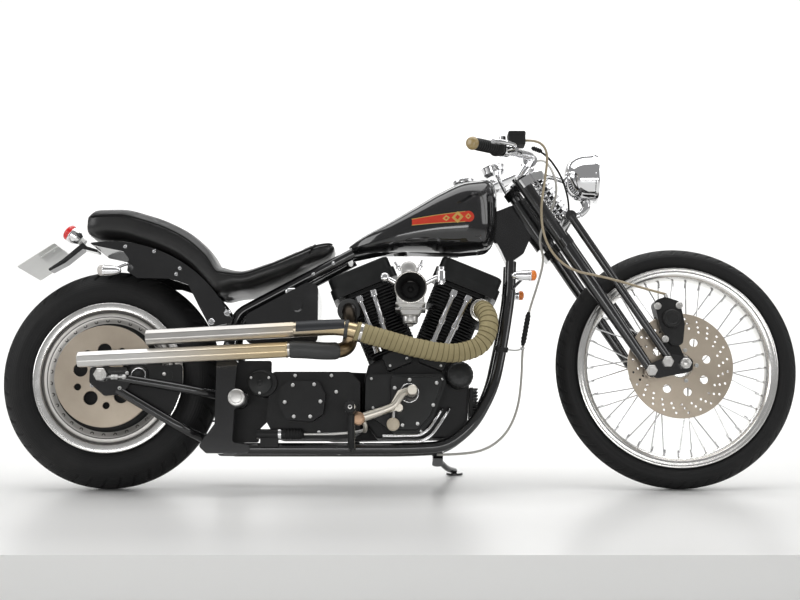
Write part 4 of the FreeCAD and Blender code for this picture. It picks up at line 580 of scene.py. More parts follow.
web_with_painted_shade = Finish("wheel_web_painted_shade", "cast_alloy", Specular_IOR_Level=0.3)
PAINTED_SHADE_EDGE = 0.1665
# Radius spans of the rim's and the dish's grooves, darkened below as painted shade.
RIM_GROOVE_SHADE = (0.1970, 0.2030)
DISH_GROOVE_SHADE = (0.1848, 0.1880)
reach = from_axle(web_with_painted_shade, REAR_AXLE)
# Inside the dimple ring the web is near black on both sides: painted shade for the dark behind the brake
# disc.
bare = reach.rise(PAINTED_SHADE_EDGE, PAINTED_SHADE_EDGE + 0.0015)
groove_shade = between_reaches(reach, *RIM_GROOVE_SHADE).most(between_reaches(reach, *DISH_GROOVE_SHADE))
web_cloud = web_with_painted_shade.grain(14, detail=5)
cast = web_with_painted_shade.blend(web_cloud, (0.60, 0.585, 0.56), (0.76, 0.74, 0.71))
# Painted shade: the cast colour is darkened in the two grooves.
cast = web_with_painted_shade.blend(groove_shade, cast, (0.16, 0.155, 0.15))
web_with_painted_shade.set(Base_Color=web_with_painted_shade.blend(bare, (0.012, 0.012, 0.012), cast), Metallic=bare,
              Roughness=web_cloud * 0.14 + 0.42)
rear_disc_wheel = turned("rear_cast_wheel", wheel_profile, REAR_AXLE, LEFT, web_with_painted_shade, "rear_wheel",
                         around=144, ring=True)
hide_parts("rear_wheel_disc")

rim_lip = eased([(196.2, -67), (196.5, -69), (214, -69.2), (217.6, -67.6), (217.8, -63.4)], 1.4)
turned("rear_rim_lip", rim_lip, REAR_AXLE, LEFT, polished_rim, "rear_wheel", around=144)

dimple = [(0, -1.6), (2.6, -1.6), (3.8, 0.4), (4.8, 0.5), (5.6, -0.6)]
DIMPLES = 31
dimples = ray(np.arange(DIMPLES) * math.tau / DIMPLES, 166, REAR_AXLE, -60.6)
steel_dark = cast_alloy("steel_dark", (0.09, 0.087, 0.083), 0.4)
studs("rear_rim_rivets", dimples, RIGHT, dimple, steel_dark, "rear_wheel", around=10)


# The two brake discs: flat steel rings, gone brown-grey with heat, each with its round windows.
# The front one is drilled with rows of three small holes. Both are bolted to their hubs.
# A disc is a flat outline with holes, filled with triangles and given its thickness and eased edges.
def circle(x, z, r, count=32):
    """Points round a circle in the x-z plane."""
    a = np.linspace(0, math.tau, count, endpoint=False)
    return np.stack([x + r * np.cos(a), z + r * np.sin(a)], axis=1)


def inset(loop, amount):
    """A closed outline moved inwards by the amount, each point along the middle of its two sides' normals."""
    after = np.roll(loop, -1, axis=0) - loop
    before = loop - np.roll(loop, 1, axis=0)
    n1 = np.stack([-after[:, 1], after[:, 0]], axis=1)
    n2 = np.stack([-before[:, 1], before[:, 0]], axis=1)
    n1 /= np.maximum(np.linalg.norm(n1, axis=1), 1e-9)[:, None]
    n2 /= np.maximum(np.linalg.norm(n2, axis=1), 1e-9)[:, None]
    mid = n1 + n2
    mid /= np.maximum(np.linalg.norm(mid, axis=1), 1e-9)[:, None]
    area = np.sum(loop[:, 0] * np.roll(loop[:, 1], -1) - np.roll(loop[:, 0], -1) * loop[:, 1])
    return loop + mid * amount * (1 if area > 0 else -1)


def flat_part(name, loops, y0, y1, finish, body="chassis", slot="own", edge=0.8):
    """A plate between two side positions from an outline and its holes, with its edges eased.
    The first loop is the outline."""
    low, high = min(y0, y1), max(y0, y1)
    edge = min(edge, (high - low) * 0.4)
    rings = []
    for number, loop in enumerate(loops):
        loop = np.asarray(loop, float)
        shrunk = inset(loop, edge if number == 0 else -edge)
        rings.append([(shrunk, low), (loop, low + edge), (loop, high - edge), (shrunk, high)])
    verts = []
    faces = []
    for ring in rings:
        count = len(ring[0][0])
        base = len(verts)
        for loop, y in ring:
            verts += [(x, y, z) for x, z in loop]
        faces += [tuple(base + i for i in face) for face in weave_faces(4, count)]
    for level in (0, 3):
        flat = [[Vector((x, z, 0)) for x, z in ring[level][0]] for ring in rings]
        starts = []
        base = 0
        for ring in rings:
            count = len(ring[0][0])
            starts.append(base + level * count)
            base += 4 * count
        index = np.concatenate([start + np.arange(len(loop)) for start, loop in zip(starts, flat)])
        faces += [tuple(int(index[i]) for i in triangle) for triangle in geometry.tessellate_polygon(flat)]
    return tidy(piece(name, leaned(verts), faces, finish, body, slot), sharp=30)


def disc_steel(name, centre):
    """Heat-browned steel with fine rings turned by the pads, read by the distance from the axle."""
    finish = Finish(name, "disc_steel", Metallic=1)
    r = from_axle(finish, centre)
    rings = (r * 2600).wave() * 0.5 + (r * 6100).wave() * 0.5
    cloud = finish.grain(11, detail=4)
    finish.set(Base_Color=finish.blend(cloud, (0.37, 0.31, 0.245), (0.54, 0.475, 0.39)),
               Roughness=rings * 0.05 + cloud * 0.1 + 0.33, Normal=finish.bump(rings, 0.00004))
    return finish


def round_holes(axle, reach, r, angles, count):
    """The outlines of round holes, each at an angle and all at the same reach about an axle."""
    return [circle(x, z, r, count) for x, _, z in ray(angles, reach, axle, 0)]


def spread(count, start=0):
    """The angles of so many equal steps round a circle, the first at a start given in steps."""
    return math.tau * (np.arange(count) + start) / count


rear_disc_finish = disc_steel("rear_disc_steel", REAR_AXLE)
rear_windows = round_holes(REAR_AXLE, 74, 20, spread(5, 0.3), 36)
rear_windows += round_holes(REAR_AXLE, 84, 10, spread(5, 0.8), 24)
rear_disc = flat_part("rear_brake_rotor", [circle(0, 318, 146, 144), circle(0, 318, 30, 48)] + rear_windows,
                      -100, -94, rear_disc_finish, "rear_wheel")
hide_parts("rear_brake_disc")
plain_steel = cast_alloy("plain_steel", (0.55, 0.55, 0.54), 0.28)
studs("rear_disc_bolts", ray(spread(5), 44, REAR_AXLE, -100), RIGHT, socket_head(7, 5), plain_steel,
      "rear_wheel", around=14)

FRONT_AXLE = (1650, 0, 351.626)
front_disc_finish = disc_steel("front_disc_steel", FRONT_AXLE)
front_holes = round_holes(FRONT_AXLE, 78, 12, spread(8, 0.3), 28)
for reach, twist in ((112, 0), (124, 0.07), (137, 0.14)):
    front_holes += round_holes(FRONT_AXLE, reach, 3.6, spread(24) + twist, 12)
front_outline = [circle(FRONT_AXLE[0], FRONT_AXLE[2], r, count) for r, count in ((152, 144), (36, 48))]
front_disc = flat_part("front_brake_rotor", front_outline + front_holes, -68, -62, front_disc_finish,
                       "front_wheel")
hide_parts("front_brake_disc")
studs("front_disc_bolts", ray(spread(5), 46, FRONT_AXLE, -68), RIGHT, socket_head(6, 4.5), plain_steel,
      "front_wheel", around=14)


# The front wheel: a narrow 21 inch tyre on a polished spoked rim with forty crossed steel wires.
# Each wire is hooked in a hub flange and pulled up by a nipple in the rim's well.
# Tyre, rim and hub are turned profiles, and the wires are one rod repeated along forty lines.
FRONT_TYRE_R = 352
FRONT_TYRE_HALF = 45

front_profile = tyre_profile(FRONT_TYRE_R, FRONT_TYRE_HALF, 292, 36, 56)
front_tread = tread(front_profile, FRONT_TYRE_R, FRONT_TYRE_HALF, 60, 3.2, 0.34, 0.86)
front_tyre = turned("front_tyre_tread", front_profile, FRONT_AXLE, LEFT, tyre_rubber, "front_wheel",
                    around=720, shape=front_tread)
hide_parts("front_tyre")

rim_half = [(259, 0), (259.2, -8), (262, -20), (266.5, -28), (272.5, -33.5), (279, -35.2), (284, -33.8),
            (288, -35.6), (292.2, -34.8), (292.4, -31.6), (288, -31), (278.2, -30.6), (277.6, -22),
            (265, -12), (264.6, 0)]
rim_profile = np.array(rim_half + [(r, -y) for r, y in rim_half[-2:0:-1]])
front_rim = turned("front_polished_rim", eased(rim_profile, 1, closed=True), FRONT_AXLE, LEFT, polished_rim,
                   "front_wheel", around=180, ring=True)
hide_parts("front_rim")


def rods(name, starts, ends, profile, finish, body="chassis", slot="own", around=10):
    """One round form laid along many lines, in upright mm.
    A profile point is (radius, share of the length, mm beyond that share)."""
    starts = np.asarray(starts, float)
    ends = np.asarray(ends, float)
    along = ends - starts
    length = np.linalg.norm(along, axis=1)
    along = along / length[:, None]
    helper = np.where(np.abs(along[:, 2:3]) < 0.9, [[0, 0, 1]], [[1, 0, 0]])
    side = np.cross(along, helper)
    side /= np.linalg.norm(side, axis=1)[:, None]
    up = np.cross(along, side)
    profile = np.asarray(profile, float)
    angle = np.linspace(0, math.tau, around, endpoint=False)
    ring = side[:, None, :] * np.cos(angle)[None, :, None] + up[:, None, :] * np.sin(angle)[None, :, None]
    reach = profile[:, 1][None, :] * length[:, None] + profile[:, 2][None, :]
    verts = (starts[:, None, None, :] + along[:, None, None, :] * reach[:, :, None, None]
             + ring[:, None, :, :] * profile[:, 0][None, :, None, None])
    grid = weave_faces(len(profile), around)
    each = len(profile) * around
    faces = (grid[None] + (np.arange(len(starts)) * each)[:, None, None]).reshape(-1, 4)
    return tidy(piece(name, leaned(verts.reshape(-1, 3)), faces, finish, body, slot))


HUB_WIRE_R = 41
WIRE_ANGLE = 72
wire = np.arange(40)
hub_side = np.where(wire % 2, 1, -1)
sweep = np.radians(np.where((wire // 2) % 2, WIRE_ANGLE, -WIRE_ANGLE))
rim_angle = np.radians(9 * wire)
wire_in = ray(rim_angle + sweep, HUB_WIRE_R, FRONT_AXLE, hub_side * (32 + 2.6 * np.sign(sweep)))
wire_out = ray(rim_angle, 261, FRONT_AXLE, hub_side * 4)
spoke_steel = bright_metal("spoke_steel", (0.66, 0.66, 0.66), 0.22, "bare_steel")
spokes = rods("front_spoke_wires", wire_in, wire_out, [(0, 0, -4), (1.9, 0, -4), (1.9, 1, 0), (0, 1, 0)],
              spoke_steel, "front_wheel", around=8)
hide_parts("front_spokes")
rods("front_spoke_nipples", wire_out, ray(rim_angle, 262, FRONT_AXLE, hub_side * 4),
     [(0, 0, -20), (2.9, 0, -20), (3.4, 0, -17), (3.4, 0, -2), (5.2, 0, 0.5), (0, 0, 0.5)], spoke_steel,
     "front_wheel", around=6)

hub_profile = eased([(10.4, -61.6), (32, -61.6), (32, -40), (41.5, -36), (42, -28.5), (38, -27), (27, -18),
                     (24.5, 0), (27, 18), (38, 27), (42, 28.5), (41.5, 36), (30, 38), (10.4, 38)], 1.2,
                    closed=True)
front_hub = turned("front_wheel_hub", hub_profile, FRONT_AXLE, LEFT, polished_rim, "front_wheel",
                   slot="cast_alloy", around=64, ring=True)
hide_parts("front_hub")


# The frame: welded steel tube with a gusseted neck, flat rear posts and a triangular swingarm.
# It is sprayed gloss black over the welds, with a little dust and orange peel in the paint.
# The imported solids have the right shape, so they only get their paint.
def dress(node, finish, edge=0):
    """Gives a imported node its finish. With edge, its sharp corners are rounded by that many mm."""
    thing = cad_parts[node]
    thing.data.materials.clear()
    thing.data.materials.append(finish.material)
    thing.data.polygons.foreach_set("material_index", np.zeros(len(thing.data.polygons), np.int32))
    if edge:
        weld = thing.modifiers.new("weld", "WELD")
        weld.merge_threshold = 0.00002
        bevel = thing.modifiers.new("edges", "BEVEL")
        bevel.limit_method = "ANGLE"
        bevel.angle_limit = math.radians(35)
        bevel.width = edge / 1000
        bevel.segments = 2
        bevel.harden_normals = True
        bevel.use_clamp_overlap = True
    return thing


def black_paint(name, peel=0.35, rough=0.16):
    """Gloss black paint: a clear coat over black, faint orange peel, soft dust clouds that dull it."""
    finish = Finish(name, "black_paint", Coat_Roughness=0.04, Coat_Weight=0.6, Specular_IOR_Level=0.5)
    dust = finish.grain(7, detail=6).rise(0.42, 0.85)
    skin = finish.grain(260, detail=1.5)
    finish.set(Base_Color=finish.blend(dust, (0.008, 0.008, 0.0085), (0.0164, 0.0164, 0.0173)),
               Roughness=dust * 0.14 + rough, Normal=finish.bump(skin * peel, 0.0002))
    return finish


frame_paint = black_paint("frame_paint")
for node in ("frame_backbone", "frame_rails", "frame_cradle_right", "frame_cradle_left", "swingarm"):
    dress(node, frame_paint)
dress("rear_axle", bright_metal("axle_chrome", (0.72, 0.72, 0.73), 0.12))
dress("front_axle", plain_steel)


# The fuel tank: a long teardrop pressed from sheet steel, narrow at the seat and steep at the front.
# It is deep gloss black, with a plain red bar on each side, lined in gold, and three gold lozenges on it.
# Its skin is a grid of hoops along the machine, each between a square and an ellipse.
def hoops(rows, power, around, fine):
    """A grid through hoops given as (x, middle height, half width, half height), smoothed along x."""
    rows = np.asarray(rows, float)
    key = np.arange(len(rows))
    t = np.linspace(0, len(rows) - 1, (len(rows) - 1) * fine + 1)
    smooth = np.stack([spline_through(key, rows[:, i], t) for i in range(4)], axis=1)
    power = np.interp(t, key, np.broadcast_to(power, len(rows)))
    a = np.linspace(0, math.tau, around, endpoint=False)
    c = np.cos(a)[None, :]
    s = np.sin(a)[None, :]
    e = 2 / power[:, None]
    x = np.repeat(smooth[:, :1], around, axis=1)
    y = smooth[:, 2:3] * np.sign(c) * np.abs(c) ** e
    z = smooth[:, 1:2] + smooth[:, 3:4] * np.sign(s) * np.abs(s) ** e
    return np.stack([x, y, z], axis=-1)


def spline_through(key, values, t):
    """A smooth curve through values at whole keys, with slopes from the neighbours and no overshoot."""
    step = np.diff(values)
    slope = np.zeros(len(values))
    same = step[:-1] * step[1:] > 0
    slope[1:-1][same] = 2 * step[:-1][same] * step[1:][same] / (step[:-1][same] + step[1:][same])
    slope[0] = step[0]
    slope[-1] = step[-1]
    i = np.clip(np.floor(t).astype(int), 0, len(values) - 2)
    u = t - i
    h00 = 2 * u ** 3 - 3 * u ** 2 + 1
    h10 = u ** 3 - 2 * u ** 2 + u
    h01 = -2 * u ** 3 + 3 * u ** 2
    h11 = u ** 3 - u ** 2
    return h00 * values[i] + h10 * slope[i] + h01 * values[i + 1] + h11 * slope[i + 1]


def closed_grid(name, grid, finish, body="chassis", slot="own"):
    """A grid of hoops made a closed mesh, with its two ends filled to their middles."""
    rows, around = grid.shape[:2]
    verts = np.concatenate([grid.reshape(-1, 3), grid[:1].mean(axis=1), grid[-1:].mean(axis=1)])
    faces = [tuple(f) for f in weave_faces(rows, around)]
    for start, middle in ((0, rows * around), ((rows - 1) * around, rows * around + 1)):
        faces += [(start + i, start + (i + 1) % around, middle) for i in range(around)]
    return tidy(piece(name, leaned(verts), faces, finish, body, slot), sharp=50)


def across_machine(finish, name):
    """A coordinate of the upright machine, in mm, read from the leaned object's own coordinates."""
    if name == "x":
        return finish.axis("X") * 1000 + WHEEL_X
    return side_and_height(finish.axis("Y"), finish.axis("Z"))["yz".index(name)]


TANK_ROWS = [(690, 703, 20, 10), (730, 714, 56, 25), (800, 733, 92, 42), (880, 757, 112, 65),
             (960, 780, 122, 90), (1030, 796, 120, 106), (1090, 804, 100, 108), (1118, 812, 70, 92),
             (1128, 818, 44, 66)]
tank_grid = hoops(TANK_ROWS, 3, around=96, fine=10)
TANK_FLOOR = 690
TUNNEL_HALF = 28
TUNNEL_TOP = 745
x, y, z = (tank_grid[..., i] for i in range(3))
z = np.maximum(z, TANK_FLOOR)
roof = np.interp(x, [640, 1050, 1074, 1128], [696, 790, 812, 832])
inside = np.clip((TUNNEL_HALF - np.abs(y)) / 3, 0, 1) * (z < roof) * (z < TUNNEL_TOP)
z = z + inside * np.maximum(0, np.minimum(roof, z + 120) - z)
tank_grid = np.stack([x, y, z], axis=-1)

tank_paint = black_paint("tank_paint", peel=0.15, rough=0.08)
tx = across_machine(tank_paint, "x")
ty = across_machine(tank_paint, "y")
tz = across_machine(tank_paint, "z")
BAR_START = 875
BAR_END = 1040
BAR_START_Z = 765
BAR_SLOPE = 0.098
BAR_LENGTH = 174
TIP_Z = 781
TIP_R = 16
bar_middle = (tx - BAR_START) * BAR_SLOPE + BAR_START_Z
off = (tz - bar_middle).size()
bar_half = ((tx - BAR_START) / BAR_LENGTH) * 7 + 9
in_bar = (off < bar_half) * (tx > BAR_START + 1)
tip = ((tx - BAR_END) * (tx - BAR_END) + (tz - TIP_Z) * (tz - TIP_Z)) ** 0.5
red = (in_bar * (tx < BAR_END)).most(tip < TIP_R)
lozenges = None
for lozenge_x, long, tall in ((1008, 17, 17.5), (975, 11, 9), (1039, 9, 9)):
    away = ((tx - lozenge_x) / long).size() + ((tz - bar_middle) / tall).size()
    lozenge = (away < 1) * (away > 0.45)
    lozenges = lozenge if lozenges is None else lozenges.most(lozenge)
edge_line = ((off - bar_half).size() < 0.9) * (tx > BAR_START) * (tx < BAR_END - 10)
speck = tank_paint.grain(90, detail=4)
outside = ty.size() > 60
red_colour = tank_paint.blend(speck, (0.50, 0.028, 0.012), (0.62, 0.05, 0.02))
gold = tank_paint.blend(speck, (0.42, 0.25, 0.05), (0.62, 0.42, 0.12))
base = tank_paint.shader.inputs["Base Color"].links[0].from_socket
painted = tank_paint.blend(red * outside, base, red_colour)
painted = tank_paint.blend(edge_line.most(lozenges) * outside, painted, gold)
tank_paint.set(Base_Color=painted)
tank = closed_grid("fuel_tank_skin", tank_grid, tank_paint)
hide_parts("fuel_tank")
dress("fuel_cap", bright_metal("cap_chrome", (0.78, 0.78, 0.79), 0.06), edge=0.6)
floor_half = np.where(tank_grid[..., 2] < TANK_FLOOR + 0.5, np.abs(tank_grid[..., 1]), 0).max(axis=1)
on_floor = floor_half > 36
for number, hand in SIDES:
    seam = np.stack([tank_grid[on_floor, 0, 0], hand * floor_half[on_floor],
                     np.full(on_floor.sum(), TANK_FLOOR + 1.5)], axis=1)
    tube("tank_seam_%d" % number, seam, 2.4, tank_paint, around=10)


# The seat: a low one-piece shell with foam under glossy black hide, turned up behind the rider.
# A piping line runs round under the top edge, and a rolled seam crosses the nose.
# The foam swells between its seams, so its skin is a cloth under pressure, settled once.
SEAT_ROWS = [(-78, 766, 74, 30), (-50, 770, 92, 43), (20, 769, 104, 45), (100, 749, 110, 47),
             (170, 723, 114, 47), (230, 687, 118, 50), (280, 641, 124, 52), (320, 596, 130, 42),
             (380, 596, 136, 26), (460, 620, 132, 26), (540, 658, 112, 26), (600, 690, 84, 25),
             (632, 701, 66, 19), (646, 706, 48, 8)]
FENDER_R = 392
DRAWN_IN_Y = 0.975
DRAWN_IN_Z = 0.965


def seat_hide(name):
    """Smooth black hide: fine pebbled grain, soft creases and a low sheen that is worn bright on top."""
    finish = Finish(name, "seat_cover", Coat_Weight=0.25, Coat_Roughness=0.22, Specular_IOR_Level=0.4)
    pores = finish.cells("F1", 620)
    crease = finish.grain(34, detail=5)
    worn = finish.grain(6, detail=3).rise(0.4, 0.7)
    finish.set(Base_Color=finish.blend(crease, (0.009, 0.009, 0.0095), (0.018, 0.0175, 0.017)),
               Roughness=0.36 - worn * 0.12 + pores * 0.1,
               Normal=finish.bump(pores * 0.5 + crease * 0.5, 0.00035))
    return finish


hide = seat_hide("seat_hide")
grid = hoops(SEAT_ROWS, 3.4, around=88, fine=8)
x, y, z = (grid[..., i] for i in range(3))
span = np.hypot(x, z - REAR_TYRE_R)
push = np.where((span < FENDER_R + 1) & (x < 420), (FENDER_R + 1) / np.maximum(span, 1), 1)
x = x * push
z = (z - REAR_TYRE_R) * push + REAR_TYRE_R
middle = grid.mean(axis=1, keepdims=True)
drawn_in = np.stack([x, y * DRAWN_IN_Y, z], axis=-1)
drawn_in = middle + (drawn_in - middle) * (1, 1, DRAWN_IN_Z)
seat = closed_grid("seat_cushion", drawn_in, hide, None)


SWELL_FRAMES = 20
SKIN_STEP = 0.006


def swell(thing, pressure, cap):
    """Blows the skin out as cloth over the frames and keeps each point within the cap, in metres."""
    remesh = thing.modifiers.new("even", "REMESH")
    remesh.mode = "VOXEL"
    remesh.voxel_size = SKIN_STEP
    remesh.use_smooth_shade = True
    depsgraph = bpy.context.evaluated_depsgraph_get()
    even = bpy.data.meshes.new_from_object(thing.evaluated_get(depsgraph))
    thing.modifiers.clear()
    old = thing.data
    thing.data = even
    bpy.data.meshes.remove(old)
    rest = np.zeros(len(even.vertices) * 3)
    even.vertices.foreach_get("co", rest)
    cloth = thing.modifiers.new("foam", "CLOTH")
    cloth.settings.use_pressure = True
    cloth.settings.uniform_pressure_force = pressure
    cloth.settings.effector_weights.gravity = 0
    cloth.settings.tension_stiffness = 30
    cloth.settings.bending_stiffness = 2
    cloth.point_cache.frame_end = SWELL_FRAMES
    for step in range(SWELL_FRAMES):
        bpy.context.scene.frame_set(step + 1)
    depsgraph = bpy.context.evaluated_depsgraph_get()
    swollen = thing.evaluated_get(depsgraph).to_mesh()
    moved = np.zeros(len(swollen.vertices) * 3)
    swollen.vertices.foreach_get("co", moved)
    thing.evaluated_get(depsgraph).to_mesh_clear()
    thing.modifiers.clear()
    bpy.context.scene.frame_set(1)
    rest = rest.reshape(-1, 3)
    change = moved.reshape(-1, 3) - rest
    length = np.maximum(np.linalg.norm(change, axis=1), 1e-9)
    change *= np.minimum(1, cap / length)[:, None]
    even.vertices.foreach_set("co", (rest + change).ravel())
    even.update()
    even.polygons.foreach_set("use_smooth", np.ones(len(even.polygons), bool))
    return thing


swell(seat, pressure=4, cap=0.005)
seat.data.materials.clear()
seat.data.materials.append(hide.material)
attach(seat, "chassis")
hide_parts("seat")

rows = np.asarray(SEAT_ROWS)
key = np.arange(len(rows))
t = np.linspace(0.6, len(rows) - 1.4, 120)
line_x, line_z, line_y, line_h = (spline_through(key, rows[:, i], t) for i in range(4))
piping_black = rubber_black("piping_black", slot="seat_cover")
PIPING_LIFT = 0.46
for number, hand in SIDES:
    piping = np.stack([line_x, hand * line_y * 0.992, line_z + line_h * PIPING_LIFT], axis=1)
    tube("seat_piping_%d" % number, piping, 3, piping_black, around=10)
NOSE_SEAM_X = 586
seam_row = int(np.argmin(np.abs(drawn_in[:, 0, 0] - NOSE_SEAM_X)))
nose_seam = drawn_in[seam_row] * (1, 1.012, 1)
nose_seam = nose_seam[nose_seam[:, 2] > nose_seam[:, 2].mean() - 14]
nose_seam = nose_seam[np.argsort(-nose_seam[:, 1])] + (0, 0, 1)
nose_seam[:, 0] += (nose_seam[:, 2] - nose_seam[:, 2].mean()) * 0.5
tube("seat_nose_seam", nose_seam, 2.2, piping_black, around=10)


# The exhaust: two steel pipes that sweep back one above the other to long eight-sided silencers.
# The front header is bound in a tan heat wrap, and both silencers are brushed, golden where they run hot.
# The wrap is a tube whose radius steps at each turn of the band, and the silencers are swept outlines.
PIPE_Y = -225
HEADER_START_Y = -80.3
FRONT_HEADER = [(1076, HEADER_START_Y, 510), (1076, -142, 510), (1094, -188, 468), (1080, -196, 410),
                (1046, -199, 383), (984, -206, 369), (890, -212, 384), (790, -219, 412), (718, -224, 432)]
UPPER_BARE = [(722, -223.7, 430.9), (684, PIPE_Y, 441.5), (602, PIPE_Y, 438.6), (540, PIPE_Y, 434.7)]
UPPER_SILENCER = [(552, PIPE_Y, 435.4), (140, PIPE_Y, 413)]
REAR_HEADER = [(694, HEADER_START_Y, 510), (694, -134, 510), (704, -160, 420), (692, -196, 382),
               (640, -220, 375), (560, PIPE_Y, 381), (528, PIPE_Y, 379.5)]
LOWER_SILENCER = [(532, PIPE_Y, 379.7), (-46, PIPE_Y, 352)]
BAND_WIDTH = 14.5
WRAP_R = 27

wrap_cloth = Finish("heat_wrap_cloth", Specular_IOR_Level=0.2)
place = wrap_cloth.node("ShaderNodeUVMap")
wu = wrap_cloth.axis("X", place)
wv = wrap_cloth.axis("Y", place)
weft = (wv * 3.9).wave()
warp = (wu * math.tau * 46).wave()
weave = (weft * warp) * 0.5 + 0.5
turn = ((wv + wu * BAND_WIDTH) / BAND_WIDTH).maths("FRACT")
lap = turn.rise(0.86, 1).most(1 - turn.rise(0, 0.10))
stain = wrap_cloth.grain(12, detail=5)
tan = wrap_cloth.blend(stain, (0.300, 0.252, 0.132), (0.455, 0.392, 0.225))
wrap_cloth.set(Base_Color=wrap_cloth.blend(lap * 0.75 + (1 - weave) * 0.18, tan, (0.125, 0.098, 0.048)),
               Roughness=weave * -0.1 + 0.88, Normal=wrap_cloth.bump(weave, 0.0006))


def band_turns(length, angle):
    """The wrap's thickness in mm: each turn climbs on to the last one and ends in an edge."""
    turn = np.mod((length + angle / math.tau * BAND_WIDTH) / BAND_WIDTH, 1)
    return -2 * (1 - turn) ** 1.3 + 0.4 * np.sin(angle * 3 + length * 0.11) * turn


header_line = smooth_line(FRONT_HEADER, 40)
front_header = tube("front_header_wrap", header_line, WRAP_R, wrap_cloth, around=40, wave=band_turns)
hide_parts("exhaust_front")


def hot_steel(name, hot_from, hot_to, hot=((0.50, 0.385, 0.22), (0.62, 0.51, 0.33)),
              cold=((0.60, 0.59, 0.57), (0.72, 0.71, 0.69))):
    """Brushed steel, silver at the tail and golden brown towards the engine, read along the machine."""
    finish = Finish(name, "pipe_steel", Metallic=1)
    heat = across_machine(finish, "x").rise(hot_from, hot_to)
    lines = finish.grain(150, detail=3, stretch=(0.05, 1, 1))
    cloud = finish.grain(9, detail=4)
    finish.set(Base_Color=finish.blend(heat, finish.blend(cloud, *cold), finish.blend(cloud, *hot)),
               Roughness=lines * 0.16 + 0.24, Normal=finish.bump(lines, 0.00006))
    return finish


def clouded(name, slot, scale, detail, dark, light, rough=None, **values):
    """Paint or plastic that drifts between two colours in clouds, duller than rough where it is light."""
    finish = Finish(name, slot, **values)
    cloud = finish.grain(scale, detail=detail)
    if rough is not None:
        finish.set(Roughness=cloud * 0.15 + rough)
    return finish.set(Base_Color=finish.blend(cloud, dark, light))


upper_steel = hot_steel("upper_pipe_steel", 380, 700, cold=((0.40, 0.388, 0.372), (0.53, 0.516, 0.496)))
lower_steel = hot_steel("lower_pipe_steel", 60, 520)
burnt_steel = hot_steel("burnt_pipe_steel", 480, 640, ((0.13, 0.095, 0.055), (0.26, 0.19, 0.11)))
# Above about 450 mm, towards the port, the header's colour turns near black.
dark_up_high = across_machine(burnt_steel, "z").rise(395, 450)
burnt = burnt_steel.shader.inputs["Base Color"].links[0].from_socket
burnt_steel.set(Base_Color=burnt_steel.blend(dark_up_high, burnt, (0.030, 0.024, 0.018)))


PIPE_R = 21


def silencer(name, ends, finish, r=PIPE_R):
    """Eight flats with eased corners between two ends, closed round in front and open at the tail."""
    p, q = np.asarray(ends, float)
    axis = (q - p) / np.linalg.norm(q - p)
    level = np.cross(axis, (0, 0, 1))
    level /= np.linalg.norm(level)
    rise = np.cross(level, axis)
    a = np.radians(22.5 + 45 * np.arange(8))
    flats = np.stack([np.cos(a), np.sin(a)], axis=1) / math.cos(math.radians(22.5))
    flats = eased(flats, 0.12, steps=3, closed=True)
    length = np.linalg.norm(q - p)
    stations = [(0, r - 4), (3, r - 1.2), (6, r), (length - 2, r), (length, r - 0.6), (length, r - 2.2),
                (length - 85, r - 2.6), (length - 85, 0.5)]
    grid = np.stack([p + axis * s + (level * flats[:, :1] + rise * flats[:, 1:]) * k for s, k in stations])
    verts = grid.reshape(-1, 3)
    faces = weave_faces(len(stations), len(flats))
    return tidy(piece(name, leaned(verts), faces, finish), sharp=8)


silencer("upper_silencer", UPPER_SILENCER, upper_steel)
tube("upper_bare_pipe", smooth_line(UPPER_BARE, 16), PIPE_R, upper_steel, around=32)
lower = silencer("lower_silencer", LOWER_SILENCER, lower_steel)
tube("rear_header_pipe", smooth_line(REAR_HEADER, 24), PIPE_R, burnt_steel, around=32)
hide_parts("exhaust_rear")

shield_blue = clouded("shield_blue", None, 8, 4, (0.018, 0.019, 0.021), (0.042, 0.044, 0.048), 0.36,
                      Metallic=0.4, Specular_IOR_Level=0.45)
dress("exhaust_shield", shield_blue)
sleeve_grey = clouded("sleeve_grey", "pipe_steel", 16, 5, (0.026, 0.027, 0.027), (0.060, 0.061, 0.060),
                      0.42, Specular_IOR_Level=0.45)
elbow = smooth_line(REAR_HEADER, 24)
elbow = elbow[(elbow[:, 0] < 668) & (elbow[:, 0] > 536) & (elbow[:, 2] < 396)]
t = np.linspace(0, 1, len(elbow))
tube("elbow_sleeve", elbow, 22 + 2.4 * np.minimum(1, 14 * np.minimum(t, 1 - t)) ** 0.5, sleeve_grey,
     slot=None, around=40)
band_steel = bright_metal("band_steel", (0.62, 0.60, 0.56), 0.2, "pipe_steel")


def pipe_band(name, line, at, r, wide, finish=band_steel):
    """A thin steel band with rolled edges round a pipe, at a share of its line."""
    i = int(at * (len(line) - 2)) + 1
    half = wide / 2
    ring = [(r - 1.2, -half), (r + 1.2, -half), (r + 1.8, 0), (r + 1.2, half), (r - 1.2, half)]
    return turned(name, eased(ring, 0.7, closed=True), line[i], line[i + 1] - line[i - 1], finish, around=56,
                  ring=True)


pipe_band("wrap_band_front", header_line, 0.05, 27.2, 9)
pipe_band("wrap_band_rear", header_line, 0.985, 26.4, 9)
pipe_band("shield_band_front", smooth_line(UPPER_BARE, 16), 0.18, 24, 10, sleeve_grey)
weld_line = np.array(LOWER_SILENCER[0]) - np.outer(range(3), (3, 0, 0.15))
pipe_band("lower_weld_ring", weld_line, 0.5, PIPE_R, 5, lower_steel)
for name, x, finish in (("front", 1076, band_steel), ("rear", 694, sleeve_grey)):
    turned("port_flange_" + name, eased([(18, 0), (34, 0), (34.5, 4), (33, 8), (22, 8.5), (18, 8.5)], 1,
                                        closed=True), (x, HEADER_START_Y, 510), RIGHT, finish,
           slot="pipe_steel", around=48, ring=True)


